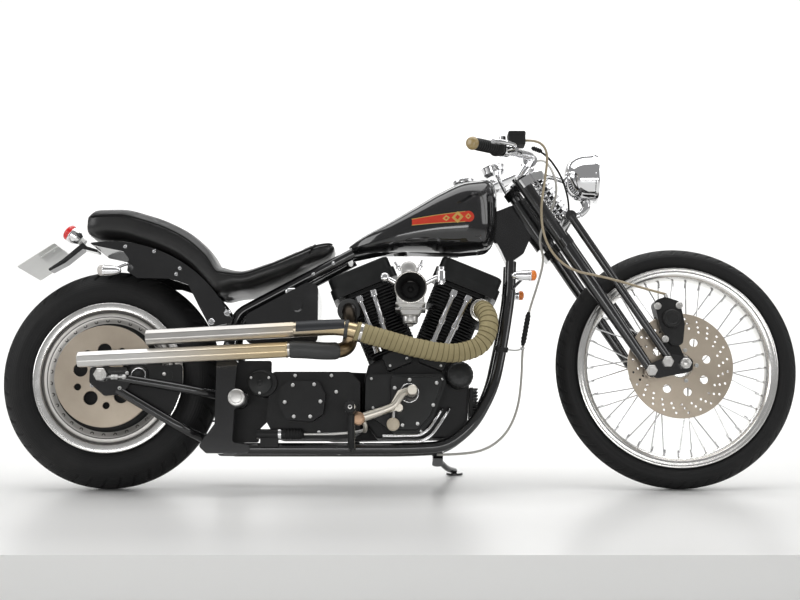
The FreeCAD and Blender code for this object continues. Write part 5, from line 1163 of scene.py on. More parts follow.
# The engine: a 45 degree V-twin with finned barrels, all black, its covers held by silver bolts.
# Its castings are satin black with a fine wrinkle, and its rod tubes, oil lines and cap are chromed.
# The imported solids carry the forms, and bolts are one turned head repeated at each cover's places.
def crinkle(name, colour=(0.008, 0.008, 0.0083), rough=0.4, depth=0.00018):
    """Baked black paint with a fine wrinkle, matt in patches where dust and oil have settled."""
    finish = Finish(name, "black_crinkle", Specular_IOR_Level=0.28)
    ridge = finish.cells("SMOOTH_F1", 800)
    dust = finish.grain(10, detail=6).rise(0.4, 0.85)
    finish.set(Base_Color=finish.blend(dust, colour, tuple(c * 1.9 + 0.004 for c in colour)),
               Roughness=ridge * 0.08 + dust * 0.12 + rough, Normal=finish.bump(ridge, depth))
    return finish


def upright_faces(thing):
    """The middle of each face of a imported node, in upright mm, and its normal."""
    count = len(thing.data.polygons)
    turn = np.array(thing.matrix_world)
    both = []
    for field, shift in (("center", turn[:3, 3]), ("normal", 0)):
        values = np.zeros(count * 3)
        thing.data.polygons.foreach_get(field, values)
        both.append(values.reshape(-1, 3) @ turn[:3, :3].T + shift)
    middle, normal = both
    c, s = math.cos(LEAN), math.sin(LEAN)
    middle = np.stack([middle[:, 0] * 1000 + WHEEL_X, *side_and_height(middle[:, 1], middle[:, 2])], axis=1)
    normal = normal @ np.array([(1, 0, 0), (0, c, s), (0, -s, c)])
    return middle, normal


def two_finishes(node, first, second, where):
    """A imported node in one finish, with a second on the faces that where(middle, normal) picks."""
    thing = dress(node, first)
    thing.data.materials.append(second.material)
    thing.data.polygons.foreach_set("material_index", where(*upright_faces(thing)).astype(np.int32))
    return thing


casting_black = crinkle("casting_black")
barrel_black = crinkle("barrel_black", (0.005, 0.005, 0.0052), 0.5)
cover_black = crinkle("cover_black", (0.009, 0.0095, 0.0095), 0.3, 0.00008)
chrome = bright_metal("chrome_plate", (0.80, 0.80, 0.81), 0.05)
soft_alloy = cast_alloy("machined_alloy", (0.66, 0.65, 0.63), 0.26)
for node in ("crankcase", "transmission", "primary_cover", "regulator"):
    dress(node, casting_black)
for node in ("cylinder_front", "cylinder_rear"):
    dress(node, barrel_black)
for node in ("rocker_boxes", "cam_cover", "oil_filter"):
    dress(node, cover_black)
dress("oil_tank", frame_paint)
two_finishes("pushrod_tubes", chrome, cover_black, lambda at, n: (at[:, 2] < 386) & (at[:, 1] > -127))
dress("oil_lines", chrome)

head = socket_head(5.2, 4.6)
small_head = socket_head(3.8, 3.4)
CAM_FACE = -150
for name, spots, form, around in (
    ("cam_cover_bolts", [(868, CAM_FACE, 303), (944, CAM_FACE, 294), (890, CAM_FACE, 180),
                         (826, CAM_FACE, 280), (848, CAM_FACE, 176), (934, CAM_FACE, 232)], head, 18),
    ("case_bolts", [(760, -130, 308), (960, -130, 306), (765, -130, 226), (900, -130, 160), (910, -126, 366),
                    (957, -126, 345), (860, -126, 366), (813, -126, 345)], small_head, 14),
    ("gearbox_cover_bolts", [(540, -150, 288), (600, -150, 290), (518, -150, 240), (618, -150, 242),
                             (544, -150, 200), (590, -150, 200)], head, 18),
    ("gearbox_side_bolts", [(543, -112, 318), (646, -112, 318), (660, -112, 272), (548, -112, 158),
                            (612, -112, 158), (700, -112, 230)], head, 18),
):
    studs(name, spots, RIGHT, form, plain_steel, around=around)

badge_place = (867, CAM_FACE, 266)
turned("cam_badge_ring", eased([(24.6, -0.5), (27.4, -0.5), (27.4, 1.6), (26.4, 2.4), (25.4, 2.4),
                                (24.6, 1.6)], 0.3, closed=True), badge_place, RIGHT, chrome, around=72,
       ring=True)
turned("cam_badge_plate", [(0, 1), (8, 1), (8.6, 1.5), (10, 1.5), (10.6, 1), (24.4, 1), (24.8, -0.5),
                           (0, -0.5)], badge_place, RIGHT, frame_paint, around=72)

starter_place = (445, -128, 296)
turned("starter_end_cover", eased([(0, 5), (6, 5), (8, 3.2), (30, 3.2), (35.5, 1), (36.5, -2), (0, -2)], 1),
       starter_place, RIGHT, cover_black, around=48)
starter_spots = ray(np.radians([30, 150, 270]), 29, starter_place, -131)
studs("starter_bolts", starter_spots, RIGHT, small_head, plain_steel, around=14)

filter_place = (1010, -75.3, 318)


def flutes(angle, row):
    """Sixteen shallow flats round the filter's end, which a strap wrench holds."""
    worn = np.clip(np.abs(np.mod(angle * 16 / math.tau, 1) - 0.5) * 4 - 1, 0, 1)
    return -1.1 * worn * (row > 5)


filter_can = turned("oil_filter_can", eased([(0, 0), (30, 0), (30, 12), (38.5, 14), (39, 18), (39, 52),
                                             (38.4, 56), (38.4, 66), (36, 74), (30, 78), (12, 80), (0, 80)],
                                            1.5), filter_place, RIGHT, cover_black, around=128, shape=flutes)
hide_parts("oil_filter")

PRIMARY_Y = 176
primary_ring = [(582, 318), (660, 330), (800, 326), (940, 320), (984, 286), (984, 206), (944, 162),
                (800, 158), (660, 156), (582, 176)]
studs("primary_cover_bolts", [(x, PRIMARY_Y, z) for x, z in primary_ring], LEFT, head, plain_steel, around=18)
derby_place = (625, 186, 244)
turned("clutch_cover", eased([(0, 6), (40, 6), (44, 4), (62, 4), (69, 1.5), (70.5, -2), (0, -2)], 1.5),
       derby_place, LEFT, chrome, around=96)
studs("clutch_cover_screws", ray(np.radians(18 + 72 * np.arange(5)), 56, derby_place, 189.5), LEFT,
      small_head, plain_steel, around=14)
stator_place = (885, 190, 240)
turned("generator_cover", eased([(0, 3), (52, 3), (55, 0.8), (66, 0.8), (70, -2), (0, -2)], 1.2),
       stator_place, LEFT, cover_black, around=96)
studs("generator_screws", ray(np.radians(45 + 90 * np.arange(4)), 61, stator_place, 190.5), LEFT, small_head,
      plain_steel, around=14)


# The carburettor: a silver body with a round float bowl, and a wide air horn open to the right.
# Its horn has a thin polished lip and a dark throat; two chromed breather arms run to the heads.
# All round parts are turned profiles; the body is a plate outline with a few ribs round it.
def rod_piece(name, points, radius, finish, body="chassis", slot="own", around=16):
    """A round bar along a smooth line through the points, with one radius or one for each end."""
    line = smooth_line(points, 12) if len(points) > 2 else np.linspace(points[0], points[-1], 5)
    if isinstance(radius, tuple):
        radius = np.linspace(*radius, len(line))
    return tube(name, line, radius, finish, body, slot, around=around)


HORN_PLACE = (871, -150, 559)
HORN_MOUTH = 52.2
throat_black = crinkle("throat_black", (0.006, 0.006, 0.006), 0.6)
horn_a = np.linspace(0, 1, 14)
horn_out = np.stack([30 + 15.4 * horn_a ** 2.2, 50.5 * horn_a], axis=1)
horn_in = np.stack([24.5 + 18.6 * horn_a ** 2.2, 51 * horn_a], axis=1)
horn = turned("air_horn", np.concatenate([horn_out, [(45.6, 51.4), (44.6, HORN_MOUTH)]]), HORN_PLACE, RIGHT,
              chrome, around=96)
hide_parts("carburettor")
turned("air_horn_throat", np.concatenate([[(44.6, HORN_MOUTH), (43.4, 51.8)], horn_in[::-1],
                                          [(24.5, -8), (0, -8)]]), HORN_PLACE, RIGHT, throat_black, around=96)
turned("air_horn_lip", square_loop(42.3, 45.9, 50.4, 53, 1), HORN_PLACE, RIGHT, band_steel, slot="chrome",
       around=96, ring=True)
turned("throttle_slide", eased([(0, 10), (6, 9), (9, 5.5), (25, 4), (25.5, -6), (0, -6)], 1), HORN_PLACE,
       RIGHT, throat_black, around=48)
carb_outline = eased([(836, 592), (906, 592), (912, 560), (910, 520), (896, 486), (846, 486), (832, 520),
                      (830, 560)], 10, steps=6, closed=True)
flat_part("carburettor_body", [carb_outline], -92, -152, soft_alloy, slot="cast_alloy", edge=3)
for number, level in enumerate((588, 524, 508)):
    rim = square_loop(828, 914, level, level - 7, 2)
    flat_part("carburettor_rib_%d" % number, [rim], -88, -156, soft_alloy, slot="cast_alloy", edge=2)
bowl = eased([(0, 0), (9, 0), (10, 5), (19, 7), (22, 12), (22.5, 34), (0, 34)], 1.8)
turned("float_bowl", bowl, (870, -122, 458), UPWARD, soft_alloy, slot="cast_alloy", around=48)
studs("carburettor_screws", [(842, -156, 505), (900, -156, 505), (842, -156, 585), (900, -156, 585)], RIGHT,
      small_head, chrome, around=14)
rod_piece("intake_manifold", [(881, -22, 549), (876, -60, 555), (871, -94, 559)], 24, soft_alloy,
          slot="cast_alloy", around=36)
drum = eased([(0, 8), (6, 8), (6, 5), (20, 5), (22, 6.5), (23.5, 6.5), (22, 3.5), (23.5, 0.5), (22, 0),
              (0, 0)], 0.4)
turned("throttle_drum", drum, (866, -128, 622), RIGHT, soft_alloy, slot="cast_alloy", around=60)
rod_piece("drum_shaft", [(866, -126, 622), (866, -104, 600), (866, -100, 590)], 5, soft_alloy,
          slot="cast_alloy")
for number, (x, z) in enumerate(((842, 632), (896, 634))):
    turned("cable_guide_%d" % number, eased([(0, 0), (4.2, 0), (4.2, 8), (6.8, 8), (6.8, 14), (4, 15),
                                             (3.6, 30), (0, 30)], 0.5), (x, -124, z - 12),
           (-0.55 if number == 0 else 0.3, 0, 0.9), chrome, around=20)
    rod_piece("guide_arm_%d" % number, [(866, -112, 594), (0.5 * (x + 866), -118, z - 22), (x, -124, z - 6)],
              4, soft_alloy, slot="cast_alloy", around=12)

for number, points in enumerate((
        [(840, -150, 572), (818, -150, 586), (798, -148, 595), (796, -110, 598), (796, -78, 600)],
        [(900, -150, 572), (928, -150, 588), (956, -148, 600), (960, -110, 602), (960, -78, 602)])):
    rod_piece("breather_arm_%d" % number, points, 8, chrome, around=24)
breather = eased([(0, 0), (9, 0), (9, 6), (13, 7), (13, 40), (10, 42), (10, 52), (0, 54)], 1.2)
turned("breather_bolt", breather, (959, -148, 574), UPWARD, chrome, around=32)
turned("breather_end", eased([(0, 15), (8, 14), (13, 9), (13, -9), (8, -14), (0, -15)], 1.5),
       (798, -152, 595), RIGHT, chrome, around=32)


# What fastens the frame and the rear wheel: axle nuts and adjusters, pivot caps, clamps and plate bolts.
# They are plain and chromed steel over black paint. A thin guard and the gearbox's plate are cast black.
# Each is a turned profile or a nut at a place taken from the frame's own solids.
ARM_FACE = 144
ROD_Y = 149
PLATE_Y = 104
RAIL_Y = 75.5
for number, hand in SIDES:
    out = (0, hand, 0)
    turned("axle_nut_%d" % number, nut_head(19, 12, 0.55), (0, hand * (ARM_FACE + 10), 318), out, soft_alloy,
           around=6)
    turned("pivot_cap_%d" % number, eased([(0, 6.5), (15, 6.5), (17, 5), (21, 5), (24, 2.4), (24, -9),
                                           (0, -9)], 0.8), (383, hand * 157.5, 253), out, soft_alloy,
           around=96, shape=lambda angle, row: 0.5 * np.sin(angle * 48) * ((row > 11) & (row < 17)))
    rod_piece("adjuster_rod_%d" % number, [(x, hand * ROD_Y, 311) for x in (14, 70)], 3.6, plain_steel)
    studs("adjuster_nuts_%d" % number, [(x, hand * ROD_Y, 311) for x in (30, 40, 62)], FORWARD,
          nut_head(7.5, 7, 0.4), plain_steel, around=6)
    studs("arm_bolts_%d" % number, [(53, hand * ARM_FACE, 280), (72, hand * ARM_FACE, 322)], out, head,
          plain_steel, around=18)
    plate_bolts = [(129, hand * PLATE_Y, 680), (205, hand * PLATE_Y, 630), (45, hand * PLATE_Y, 694),
                   (195, hand * PLATE_Y, 613)]
    studs("fender_plate_bolts_%d" % number, plate_bolts, out, head, chrome, around=18)
    studs("fender_strut_bolts_%d" % number, [(345, hand * PLATE_Y, 500), (300, hand * PLATE_Y, 474)], out,
          socket_head(9, 6), chrome, around=24)
    studs("rail_bolts_%d" % number, [(588, hand * RAIL_Y, 618), (646, hand * RAIL_Y, 650)], out, head, chrome,
          around=18)
dress("rear_fender", frame_paint)
dress("rear_pulley", casting_black)
dress("rear_caliper", cover_black)
boss_place = (102, -119, 318)
turned("rear_caliper_boss", eased([(0, 12), (12, 12), (13, 14), (17, 14.5), (18, 13), (19, 17), (21, 17),
                                   (22, 12), (26, 10), (26, -3), (0, -3)], 0.7), boss_place, RIGHT,
       cover_black, around=64)
turned("caliper_boss_ring", square_loop(18.6, 21.4, 15, 17.8, 0.5), boss_place, RIGHT, chrome, around=64,
       ring=True)
studs("rear_caliper_bolts", [(156, -119, 300), (172, -119, 322)], RIGHT, head, soft_alloy, around=18)
guard = eased([(62, 336), (222, 352), (224, 289), (203, 229), (186, 204), (62, 264)], 14, steps=6,
              closed=True)
flat_part("wheel_side_guard", [guard], -118.5, -112, casting_black, edge=1.2)
mount_plate = eased([(352, 367), (470, 367), (470, 200), (437, 168), (437, 131), (352, 131)], 8, steps=5,
                    closed=True)
flat_part("gearbox_mount_plate", [mount_plate, circle(383, 253, 24.2)], -58, -52, casting_black, edge=1.5)

TUBE_LEAN = np.array([25, -32, 140])
turned("downtube_clamp", square_loop(16.2, 19.5, -7, 7, 1), (1133, -85, 398), TUBE_LEAN, casting_black,
       around=40, ring=True)
rod_piece("clamp_loop", [(1148, -72, 398), (1172, -56, 396), (1190, -50, 400), (1197, -46, 404)], 2.6,
          plain_steel)
turned("clamp_eye", square_loop(4, 6.6, -3, 3, 0.8), (1197, -46, 404), UPWARD, plain_steel, around=24,
       ring=True)


def ribbed_boot(name, start, end, r, ribs, body="chassis"):
    """A rubber sleeve with soft round ribs and a tapered neck at each end."""
    start = np.asarray(start, float)
    along = end - start
    length = np.linalg.norm(along)
    t = np.linspace(0, 1, ribs * 8 + 1)
    swell = np.minimum(1, np.minimum(t, 1 - t) * 7)
    reach = r * (0.62 + 0.38 * swell) + 0.9 * swell * np.cos(math.tau * ribs * t)
    profile = np.concatenate([[(0, 0)], np.stack([reach, t * length], axis=1), [(0, length)]])
    return turned(name, profile, start, along, boot_rubber, body, around=32)


def flat_ridges(depth, count, first, last):
    """A turned form's shape with so many ridges of a depth round it, on the rows between first and last."""
    return lambda angle, row: depth * np.sign(np.sin(angle * count)) * ((row > first) & (row < last))


boot_rubber = rubber_black("boot_rubber")
ribbed_boot("cable_boot", (1217, -48.5, 510), (1198, -46, 412), 7.8, 9)
dress("side_stand", frame_paint)
two_finishes("rear_master_cylinder", casting_black, soft_alloy,
             lambda at, n: (at[:, 0] > 567) | ((at[:, 0] < 456) & (at[:, 2] > 136)))
ribbed_boot("pump_boot", (514, -134, 152), (572, -134, 152), 15, 7)
turned("pump_collar", square_loop(14.2, 16.4, 0, 9, 0.8), (500, -134, 152), FORWARD, chrome, around=36,
       ring=True)
rod_piece("pump_clevis", [(640, -134, 152), (700, -136, 153), (742, -150, 162)], 4, soft_alloy)


# The foot controls: round pegs, an alloy brake pedal with a round toe pad, and the gear lever.
# The pedal is bare brushed alloy with a copper-brown boss, the pegs are black rubber on black stubs.
# The arms are round bars along smooth lines, swept sideways where the real forging is cranked.
pedal_alloy = cast_alloy("pedal_alloy", (0.70, 0.66, 0.58), 0.30, "cast_alloy")
boss_brown = cast_alloy("boss_brown", (0.50, 0.33, 0.22), 0.36, "cast_alloy")
two_finishes("foot_controls", casting_black, pedal_alloy, lambda at, n: (at[:, 1] < -151) & (at[:, 0] > 716))
arm_line = [(870, -186, 268), (852, -188, 266), (838, -190, 246), (826, -190, 226), (790, -190, 212),
            (752, -190, 200), (722, -190, 190)]
rod_piece("brake_arm", arm_line, (8.5, 13), pedal_alloy, around=20)
turned("brake_toe_pad", eased([(0, 0), (13.5, 0), (14.5, 2), (14.5, 80), (12, 84), (0, 84)], 1.5),
       (874, -178, 266), RIGHT, pedal_alloy, around=40, shape=flat_ridges(0.6, 12, 4, 10))
turned("pedal_boss", eased([(0, 8), (9, 8), (17, 6), (18.5, 3), (18.5, -26), (0, -26)], 1.5),
       (726, -198, 192), RIGHT, boss_brown, around=40)
rod_piece("pedal_link", [(742, -184, 184), (748, -176, 168), (742, -154, 160)], 6.5, pedal_alloy)
for number, hand in SIDES:
    peg = eased([(0, 0), (12, 0), (16.5, 2), (16.5, 96), (15, 99), (8, 100), (0, 100)], 1.5)
    turned("peg_rubber_%d" % number, peg, (707, hand * 199, 217), (0, hand, 0), boot_rubber, around=48,
           shape=flat_ridges(0.9, 14, 6, 11))
    studs("peg_bolt_%d" % number, [(707, hand * 298.5, 217)], (0, hand, 0), socket_head(6, 3), soft_alloy,
          around=18)
turned("gear_lever_pad", eased([(0, 0), (12.5, 0), (13, 2), (13, 60), (11, 63), (0, 63)], 1.2),
       (954, 207, 262), LEFT, boot_rubber, around=36, shape=flat_ridges(0.6, 12, 4, 10))
pad_beige = clouded("pad_beige", None, 50, 4, (0.42, 0.36, 0.27), (0.62, 0.55, 0.44), Roughness=0.55,
                    Specular_IOR_Level=0.3)
rod_piece("heel_stem", [(824, -187, 214), (822, -188, 196), (822, -190, 178)], 4.5, soft_alloy)
turned("heel_pad", eased([(0, 0), (13, 0), (18, 4), (18, 20), (14, 26), (0, 28)], 3), (822, -182, 176),
       RIGHT, pad_beige, around=40)
dress("drive_belt", rubber_black("belt_rubber"))
turned("switch_cap", eased([(0, 9), (7, 8.6), (13, 6), (15.5, 2), (15.5, -12), (0, -12)], 2),
       (527, -94, 564), RIGHT, chrome, around=48,
       shape=lambda angle, row: 3.6 * np.cos(2 * angle) * (row > 1))


# The springer fork: a rear pair of legs from the clamps, and a front pair that hangs on two springs.
# The legs and the short rockers at their feet are black; springs, top clamp, risers and nuts are bright.
# The springs are one wire tube round a helix, and the other bright parts are turned profiles.
RAKE = math.radians(33)
STEER_GROUND_X = 1742
STEER_AXIS = np.array([-math.sin(RAKE), 0, math.cos(RAKE)])
AHEAD = np.array([math.cos(RAKE), 0, math.sin(RAKE)])
CROWN_Z = 866
SPRING_SEAT_Z = 786
SPRING_AHEAD = 90
COIL_Y = 34
COIL_R = 16.8
COIL_TURNS = 8


def fork_point(z, ahead, y=0):
    """A point at height z on a line beside the steering axis, so far ahead of it."""
    return np.array([STEER_GROUND_X - z * math.tan(RAKE) + ahead / math.cos(RAKE), y, z])


def clamp_point(z, ahead, y, up):
    """A point square to the steering axis at its height z: so far ahead, sideways and up along it."""
    return fork_point(z, 0) + AHEAD * ahead + np.array([0, y, 0]) + STEER_AXIS * up


fork_paint = black_paint("fork_paint", peel=0.3, rough=0.2)
for node in ("fork_legs", "spring_fork", "fork_rockers"):
    dress(node, fork_paint)
two_finishes("fork_crown", fork_paint, chrome,
             lambda at, n: np.abs((at - fork_point(CROWN_Z, 0)) @ STEER_AXIS) < 20)
spring_chrome = bright_metal("spring_chrome", (0.74, 0.74, 0.75), 0.1)
for number, hand in SIDES:
    high = clamp_point(CROWN_Z, SPRING_AHEAD, hand * COIL_Y, -17.5)
    low = fork_point(SPRING_SEAT_Z, SPRING_AHEAD, hand * COIL_Y) + STEER_AXIS * 20.5
    t = np.linspace(0, 1, 300)
    flat_end = np.clip(np.minimum(t, 1 - t) * 9, 0, 1)
    climb = np.cumsum(0.25 + 0.75 * flat_end)
    climb = (climb - climb[0]) / (climb[-1] - climb[0])
    spin = math.tau * COIL_TURNS * t
    round_axis = AHEAD * np.cos(spin)[:, None] + np.array(LEFT) * np.sin(spin)[:, None]
    helix = low + (high - low) * climb[:, None] + COIL_R * round_axis
    coil = tube("spring_coil_%d" % number, helix, 3.6, spring_chrome, "steering", around=14)
    if number == 0:
        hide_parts("fork_springs")
    turned("spring_cup_%d" % number, eased([(7, -4), (21, -4), (23, 2), (23, 9), (21.4, 9), (21, 1), (7, 0)],
                                           0.8, closed=True), low - STEER_AXIS * 4, STEER_AXIS, chrome,
           "steering", around=48, ring=True)
    studs("spring_rod_nuts_%d" % number, [clamp_point(CROWN_Z, SPRING_AHEAD, hand * COIL_Y, 13)], STEER_AXIS,
          nut_head(12, 14, 0.5), chrome, "steering", around=6)
    studs("leg_caps_%d" % number, [clamp_point(CROWN_Z, 28, hand * 100, 18.5)], STEER_AXIS,
          socket_head(16, 7), chrome, "steering", around=36)
    studs("rocker_nuts_%d" % number, [(1554, hand * 125, 332), (1600.8, hand * 125, 357)], (0, hand, 0),
          nut_head(16.5, 11, 0.62), soft_alloy, "steering", around=6)
    studs("axle_end_nut_%d" % number, [(FRONT_AXLE[0], hand * 134, FRONT_AXLE[2])], (0, hand, 0),
          nut_head(16, 9, 0.6), soft_alloy, "steering", around=6)
studs("stem_nut", [clamp_point(CROWN_Z, 0, 0, 12.5)], STEER_AXIS, nut_head(19, 12, 0.62), chrome, "steering",
      around=6)

caliper_black = crinkle("caliper_black", (0.010, 0.010, 0.010), 0.34)
dress("front_caliper", caliper_black)
CALIPER_FACE = -99
turned("caliper_piston_cap", eased([(0, 4), (15, 4), (18, 7), (23, 7), (26.5, 3), (27.5, -8), (0, -8)], 1.2),
       (1622, -105, 484), RIGHT, caliper_black, "steering", around=72)
studs("caliper_bolts", [(1583, CALIPER_FACE, 520), (1601, CALIPER_FACE, 424), (1645, CALIPER_FACE, 522)],
      RIGHT, socket_head(10, 7), soft_alloy, "steering", around=20)
rod_piece("hose_banjo", [(1606, -98, 556), (1610, -94, 548), (1612, -90, 538)], 5.5, soft_alloy, "steering")


# The handlebar: a low chromed bar on two risers, with ribbed rubber grips and one lever each side.
# The levers and their perches are chromed, and the brake fluid box is matt black with a screwed lid.
# The grips are turned profiles with moulded rings, and their round ends are polished gum-coloured horn.
dress("handlebar", chrome)
grip_olive = rubber_black("grip_olive", slot="grip_rubber")
grip_olive.set(Base_Color=(0.098, 0.097, 0.070))
grip_gum = clouded("grip_gum", "grip_rubber", 60, 4, (0.22, 0.15, 0.05), (0.42, 0.31, 0.13), Roughness=0.3,
                   Coat_Weight=0.6, Coat_Roughness=0.1)
GRIP_END = np.array([1040, 345, 933])
GRIP_ROOT = np.array([1118, 240, 948])
t = np.linspace(0, 1, 81)
swell_out = 0.9 * np.cos(math.tau * 9 * t) * np.minimum(1, 6 * np.minimum(t, 1 - t))
SLEEVE_R = 16.9
SLEEVE_LENGTH = 102
ribs = np.stack([SLEEVE_R + swell_out, -12 - SLEEVE_LENGTH * t], axis=1)
sleeve = np.concatenate([[(13.2, -6), (16, -6)], ribs, [(18, -115), (22.6, -117), (23, -119), (23, -122),
                                                         (22, -123.6), (13.2, -123.6)]])
for number, hand in SIDES:
    end = GRIP_END * (1, hand, 1)
    root = GRIP_ROOT * (1, hand, 1)
    along = (end - root) / np.linalg.norm(end - root)
    grip = turned("grip_sleeve_%d" % number, sleeve, end, along, grip_olive, "steering", around=40)
    if number == 0:
        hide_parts("grips")
    turned("grip_end_%d" % number, eased([(0, 15.6), (9, 15.2), (15, 12.5), (18.6, 5), (18.6, -1),
                                          (16, -6.5), (0, -6.5)], 2), end, along, grip_gum, "steering",
           around=40)
    turned("grip_collar_%d" % number, eased([(13.4, -138), (20.5, -138), (21.5, -132), (21.5, -126),
                                             (13.4, -126)], 1, closed=True), end, along, casting_black,
           "steering", around=40, ring=True)

box_black = crinkle("fluid_box_black", (0.012, 0.012, 0.012), 0.45)
two_finishes("hand_controls", chrome, box_black,
             lambda at, n: ((at > (1146, -256, 956.5)) & (at < (1195, 0, 998))).all(axis=1))
lid = square_loop(1145.6, 1195.2, -256.1, -206.5, 5, steps=5)
lid_verts = [(x, y, z) for z in (986.5, 992.8) for x, y in lid]
lid_count = len(lid)
lid_faces = [*weave_faces(2, lid_count), range(lid_count), range(lid_count, 2 * lid_count)]
tidy(piece("fluid_box_lid", leaned(lid_verts), lid_faces, box_black, "steering"))
studs("lid_screws", [(1153.5, -248, 995.4), (1187, -214.5, 995.4)], UPWARD, socket_head(3.6, 1.2),
      plain_steel, "steering", around=14)
for number, hand in SIDES:
    for side_step in (-9, 9):
        studs("riser_bolts_%d_%d" % (number, side_step > 0), [(1228, hand * 40 + side_step, 985)], UPWARD,
              socket_head(5, 5), chrome, "steering", around=16)

arc_black = rubber_black("cable_black")
FRONT_CABLE = [(1226, -158, 972), (1252, -148, 966), (1284, -126, 942), (1316, -104, 898), (1334, -84, 846),
               (1339, -66, 806), (1338, -56, 792)]
tube("front_cable", smooth_line(FRONT_CABLE, 10), 3, arc_black, "steering", around=12)
ribbed_boot("front_cable_boot", (1222, -159, 974), (1252, -148, 966), 6.4, 5, "steering")


# The lamps: a chromed headlamp bowl with a glass front, four bullet signals and a round red tail lamp.
# Shells are chromed; lenses are clear, amber or red with fine moulded rings, over a bright bowl.
# Every shell and lens is a turned profile with a real wall, and each sits on its short stalk.
def lens_glass(name, colour, rings, clear):
    """Moulded glass or plastic: coloured, partly clear, with fine rings round its middle."""
    finish = Finish(name, Base_Color=colour, Roughness=0.06, IOR=1.48, Transmission_Weight=clear,
                    Coat_Weight=0.4)
    v = finish.axis("Y", finish.node("ShaderNodeUVMap"))
    return finish.set(Normal=finish.bump((v * rings).wave() * 0.5 + 0.5, 0.0005))


lamp_bowl = bright_metal("lamp_chrome", (0.84, 0.84, 0.85), 0.03, "lamp_chrome")
amber = lens_glass("amber_lens", (1, 0.27, 0.03), 2.4, 0.25)
pale_lens = lens_glass("pale_lens", (0.78, 0.74, 0.70), 2.4, 0.3)
tail_red = lens_glass("tail_red_lens", (0.85, 0.012, 0.012), 2, 0.15)
clear_glass = lens_glass("lamp_glass", (0.95, 0.97, 0.98), 2.2, 0.96)
LAMP_PLACE = (1431, 0, 922)
t = np.linspace(0, 1, 30)
bowl_out = np.stack([74 * np.sin(t * math.pi / 2) ** 0.78, -99 + 75 * (1 - np.cos(t * math.pi / 2)) ** 1.1],
                    axis=1)
shell = turned("headlamp_bowl",
               np.concatenate([bowl_out, [(75.6, -12), (77.8, -10), (78, -7), (78, -1), (77, 0.5),
                                          (73.4, 0.5), (72.6, -2), (72.6, -22)],
                               (bowl_out[::-1] * (0.955, 1) + (0, 3))]), LAMP_PLACE, FORWARD, lamp_bowl,
               "steering", around=120)
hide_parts("headlamp")
dish = np.stack([70 * t, -58 + 54 * t ** 2], axis=1)
turned("headlamp_reflector", np.concatenate([dish, [(72.4, -4), (72.4, -5.5)], dish[::-1] + (0, -1.5)]),
       LAMP_PLACE, FORWARD, lamp_bowl, "steering", around=96)
turned("headlamp_bulb", eased([(0, -20), (5, -22), (8, -30), (8, -42), (6, -52), (0, -56)], 1), LAMP_PLACE,
       FORWARD, clear_glass, "steering", around=32)
GLASS_R = 72.3
GLASS_WALL = 2.6
front_glass = np.stack([GLASS_R * t, 9 * (1 - t ** 2)], axis=1)
turned("headlamp_lens", np.concatenate([front_glass, [(GLASS_R, -GLASS_WALL)],
                                        front_glass[::-1] - (0, GLASS_WALL)]),
       LAMP_PLACE, FORWARD, clear_glass, "steering", around=96)
stem_start = clamp_point(CROWN_Z, SPRING_AHEAD + 18.3, 0, 0)
rod_piece("headlamp_stem", [stem_start, stem_start + AHEAD * 20, (1352, 0, 908), (1368, 0, 912)], 9, chrome,
          "steering", around=24)
rod_piece("headlamp_foot", [(1392, 0, 862), (1400, 0, 846), (1398, 0, 826), (1380, 0, 812)], (16, 11),
          chrome, "steering", around=28)
rod_piece("headlamp_bracket", [(1380, 0, 812), (1352, 0, 806), (1322, 0, 786)], 9, chrome, "steering",
          around=20)


def round_end(r, middle, height, count, power=1):
    """The profile of a lamp's round end, from its tip to its rim."""
    t = np.linspace(0, math.pi / 2, count)
    return np.stack([r * np.sin(t) ** power, middle + height * np.cos(t)], axis=1)


def bullet_lamp(name, centre, forward, length, lens, stalk, r=16):
    """A chromed bullet shell, its lens and its stalk."""
    back = round_end(r - 1.2, -0.34 * length, -0.66 * length, 20, 0.8)
    rim = [(r - 0.4, -length * 0.32), (r, -length * 0.3), (r, -18), (r - 0.6, -17), (r - 1.8, -17.4),
           (r - 2.2, -21), (0, -21)]
    made = turned(name + "_shell", np.concatenate([back, rim]), centre, forward, lamp_bowl, around=56)
    dome = round_end(r - 0.9, -9, 8.8, 20)
    turned(name + "_lens", np.concatenate([dome, [(r - 0.9, -16.6), (0, -16.6)]]), centre, forward, lens,
           around=48)
    rod_piece(name + "_stalk", stalk, 5.8, chrome, around=20)
    return made


for number, hand in SIDES:
    rear = bullet_lamp("rear_signal_%d" % number, (-17, hand * 170, 612), (-1, 0, 0), 68, pale_lens,
                       [(18, hand * 160, 613), (46, hand * 142, 634), (62, hand * 132, 640),
                        (62, hand * 104, 640)])
    if number == 0:
        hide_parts("turn_signals")
    bullet_lamp("front_signal_%d" % number, (1228, hand * 178, 596), FORWARD, 72, amber,
                [(1196, hand * 168, 596), (1186, hand * 120, 588), (1172, hand * 64, 580)])

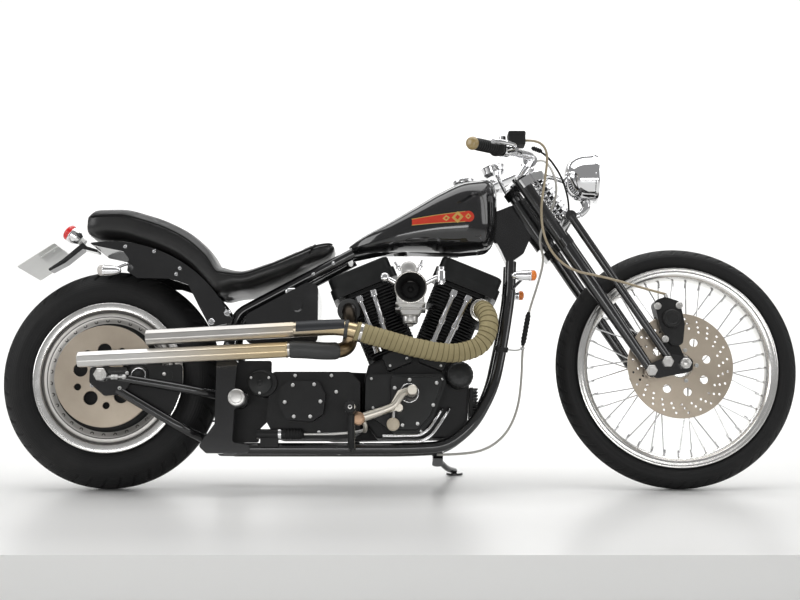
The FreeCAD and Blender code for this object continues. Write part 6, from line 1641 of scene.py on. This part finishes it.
LOOK_BACK = np.array([-0.8, 0, 0.6])
TAIL_PLACE = np.array([-150, 0, 759.9])
tail_shell = turned("tail_lamp_shell", eased([(0, -46), (14, -45), (21, -34), (24.6, -22), (26, -18),
                                              (26, -13), (24.6, -12.2), (23.6, -14), (22, -17), (0, -17)],
                                             1.2), TAIL_PLACE, LOOK_BACK, lamp_bowl, around=72)
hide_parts("tail_lamp")
tail_dome = np.concatenate([round_end(24.8, -4, 13.6, 24), [(24.8, -11.8), (0, -11.8)]])
turned("tail_lamp_lens", tail_dome, TAIL_PLACE, LOOK_BACK, tail_red, around=72)
plate_white = clouded("plate_white", None, 12, 5, (0.80, 0.80, 0.78), (0.68, 0.68, 0.66), Roughness=0.32,
                      Coat_Weight=0.3)
dress("number_plate", plate_white)
two_finishes("plate_bracket", frame_paint, plate_white,
             lambda at, n: np.abs((at - (-158.6, 0, 701.9)) @ (-0.5583, 0, 0.8295)) < 9)
CLOCK_PLACE = np.array([1119, 0, 959.9])
CLOCK_AXIS = np.array([-0.25, 0, 0.968]) / np.linalg.norm([-0.25, 0, 0.968])
CLOCK_FACE_R = 33
two_finishes("speedometer", chrome, plate_white, lambda at, n: (n @ CLOCK_AXIS > 0.97)
             & (np.linalg.norm(at - CLOCK_PLACE, axis=1) < CLOCK_FACE_R))
TICK_FROM = 23
TICK_TO = 29
clock_ahead = np.array([0.968, 0, 0.25])
tick_angle = np.radians(np.linspace(-135, 135, 19))
tick_ray = clock_ahead * np.cos(tick_angle)[:, None] + np.array(LEFT) * np.sin(tick_angle)[:, None]
rods("clock_ticks", CLOCK_PLACE + TICK_FROM * tick_ray, CLOCK_PLACE + TICK_TO * tick_ray,
     [(0, 0, 0), (0.6, 0, 0), (0.6, 1, 0), (0, 1, 0)], casting_black, "steering", around=6)
needle_root = CLOCK_PLACE + CLOCK_AXIS
rods("clock_needle", [needle_root - clock_ahead * 4], [needle_root - clock_ahead * 16 + (0, 14, 0)],
     [(0, 0, 0), (1.2, 0, 0), (0.5, 1, 0), (0, 1, 0)], tail_red, "steering", around=8)
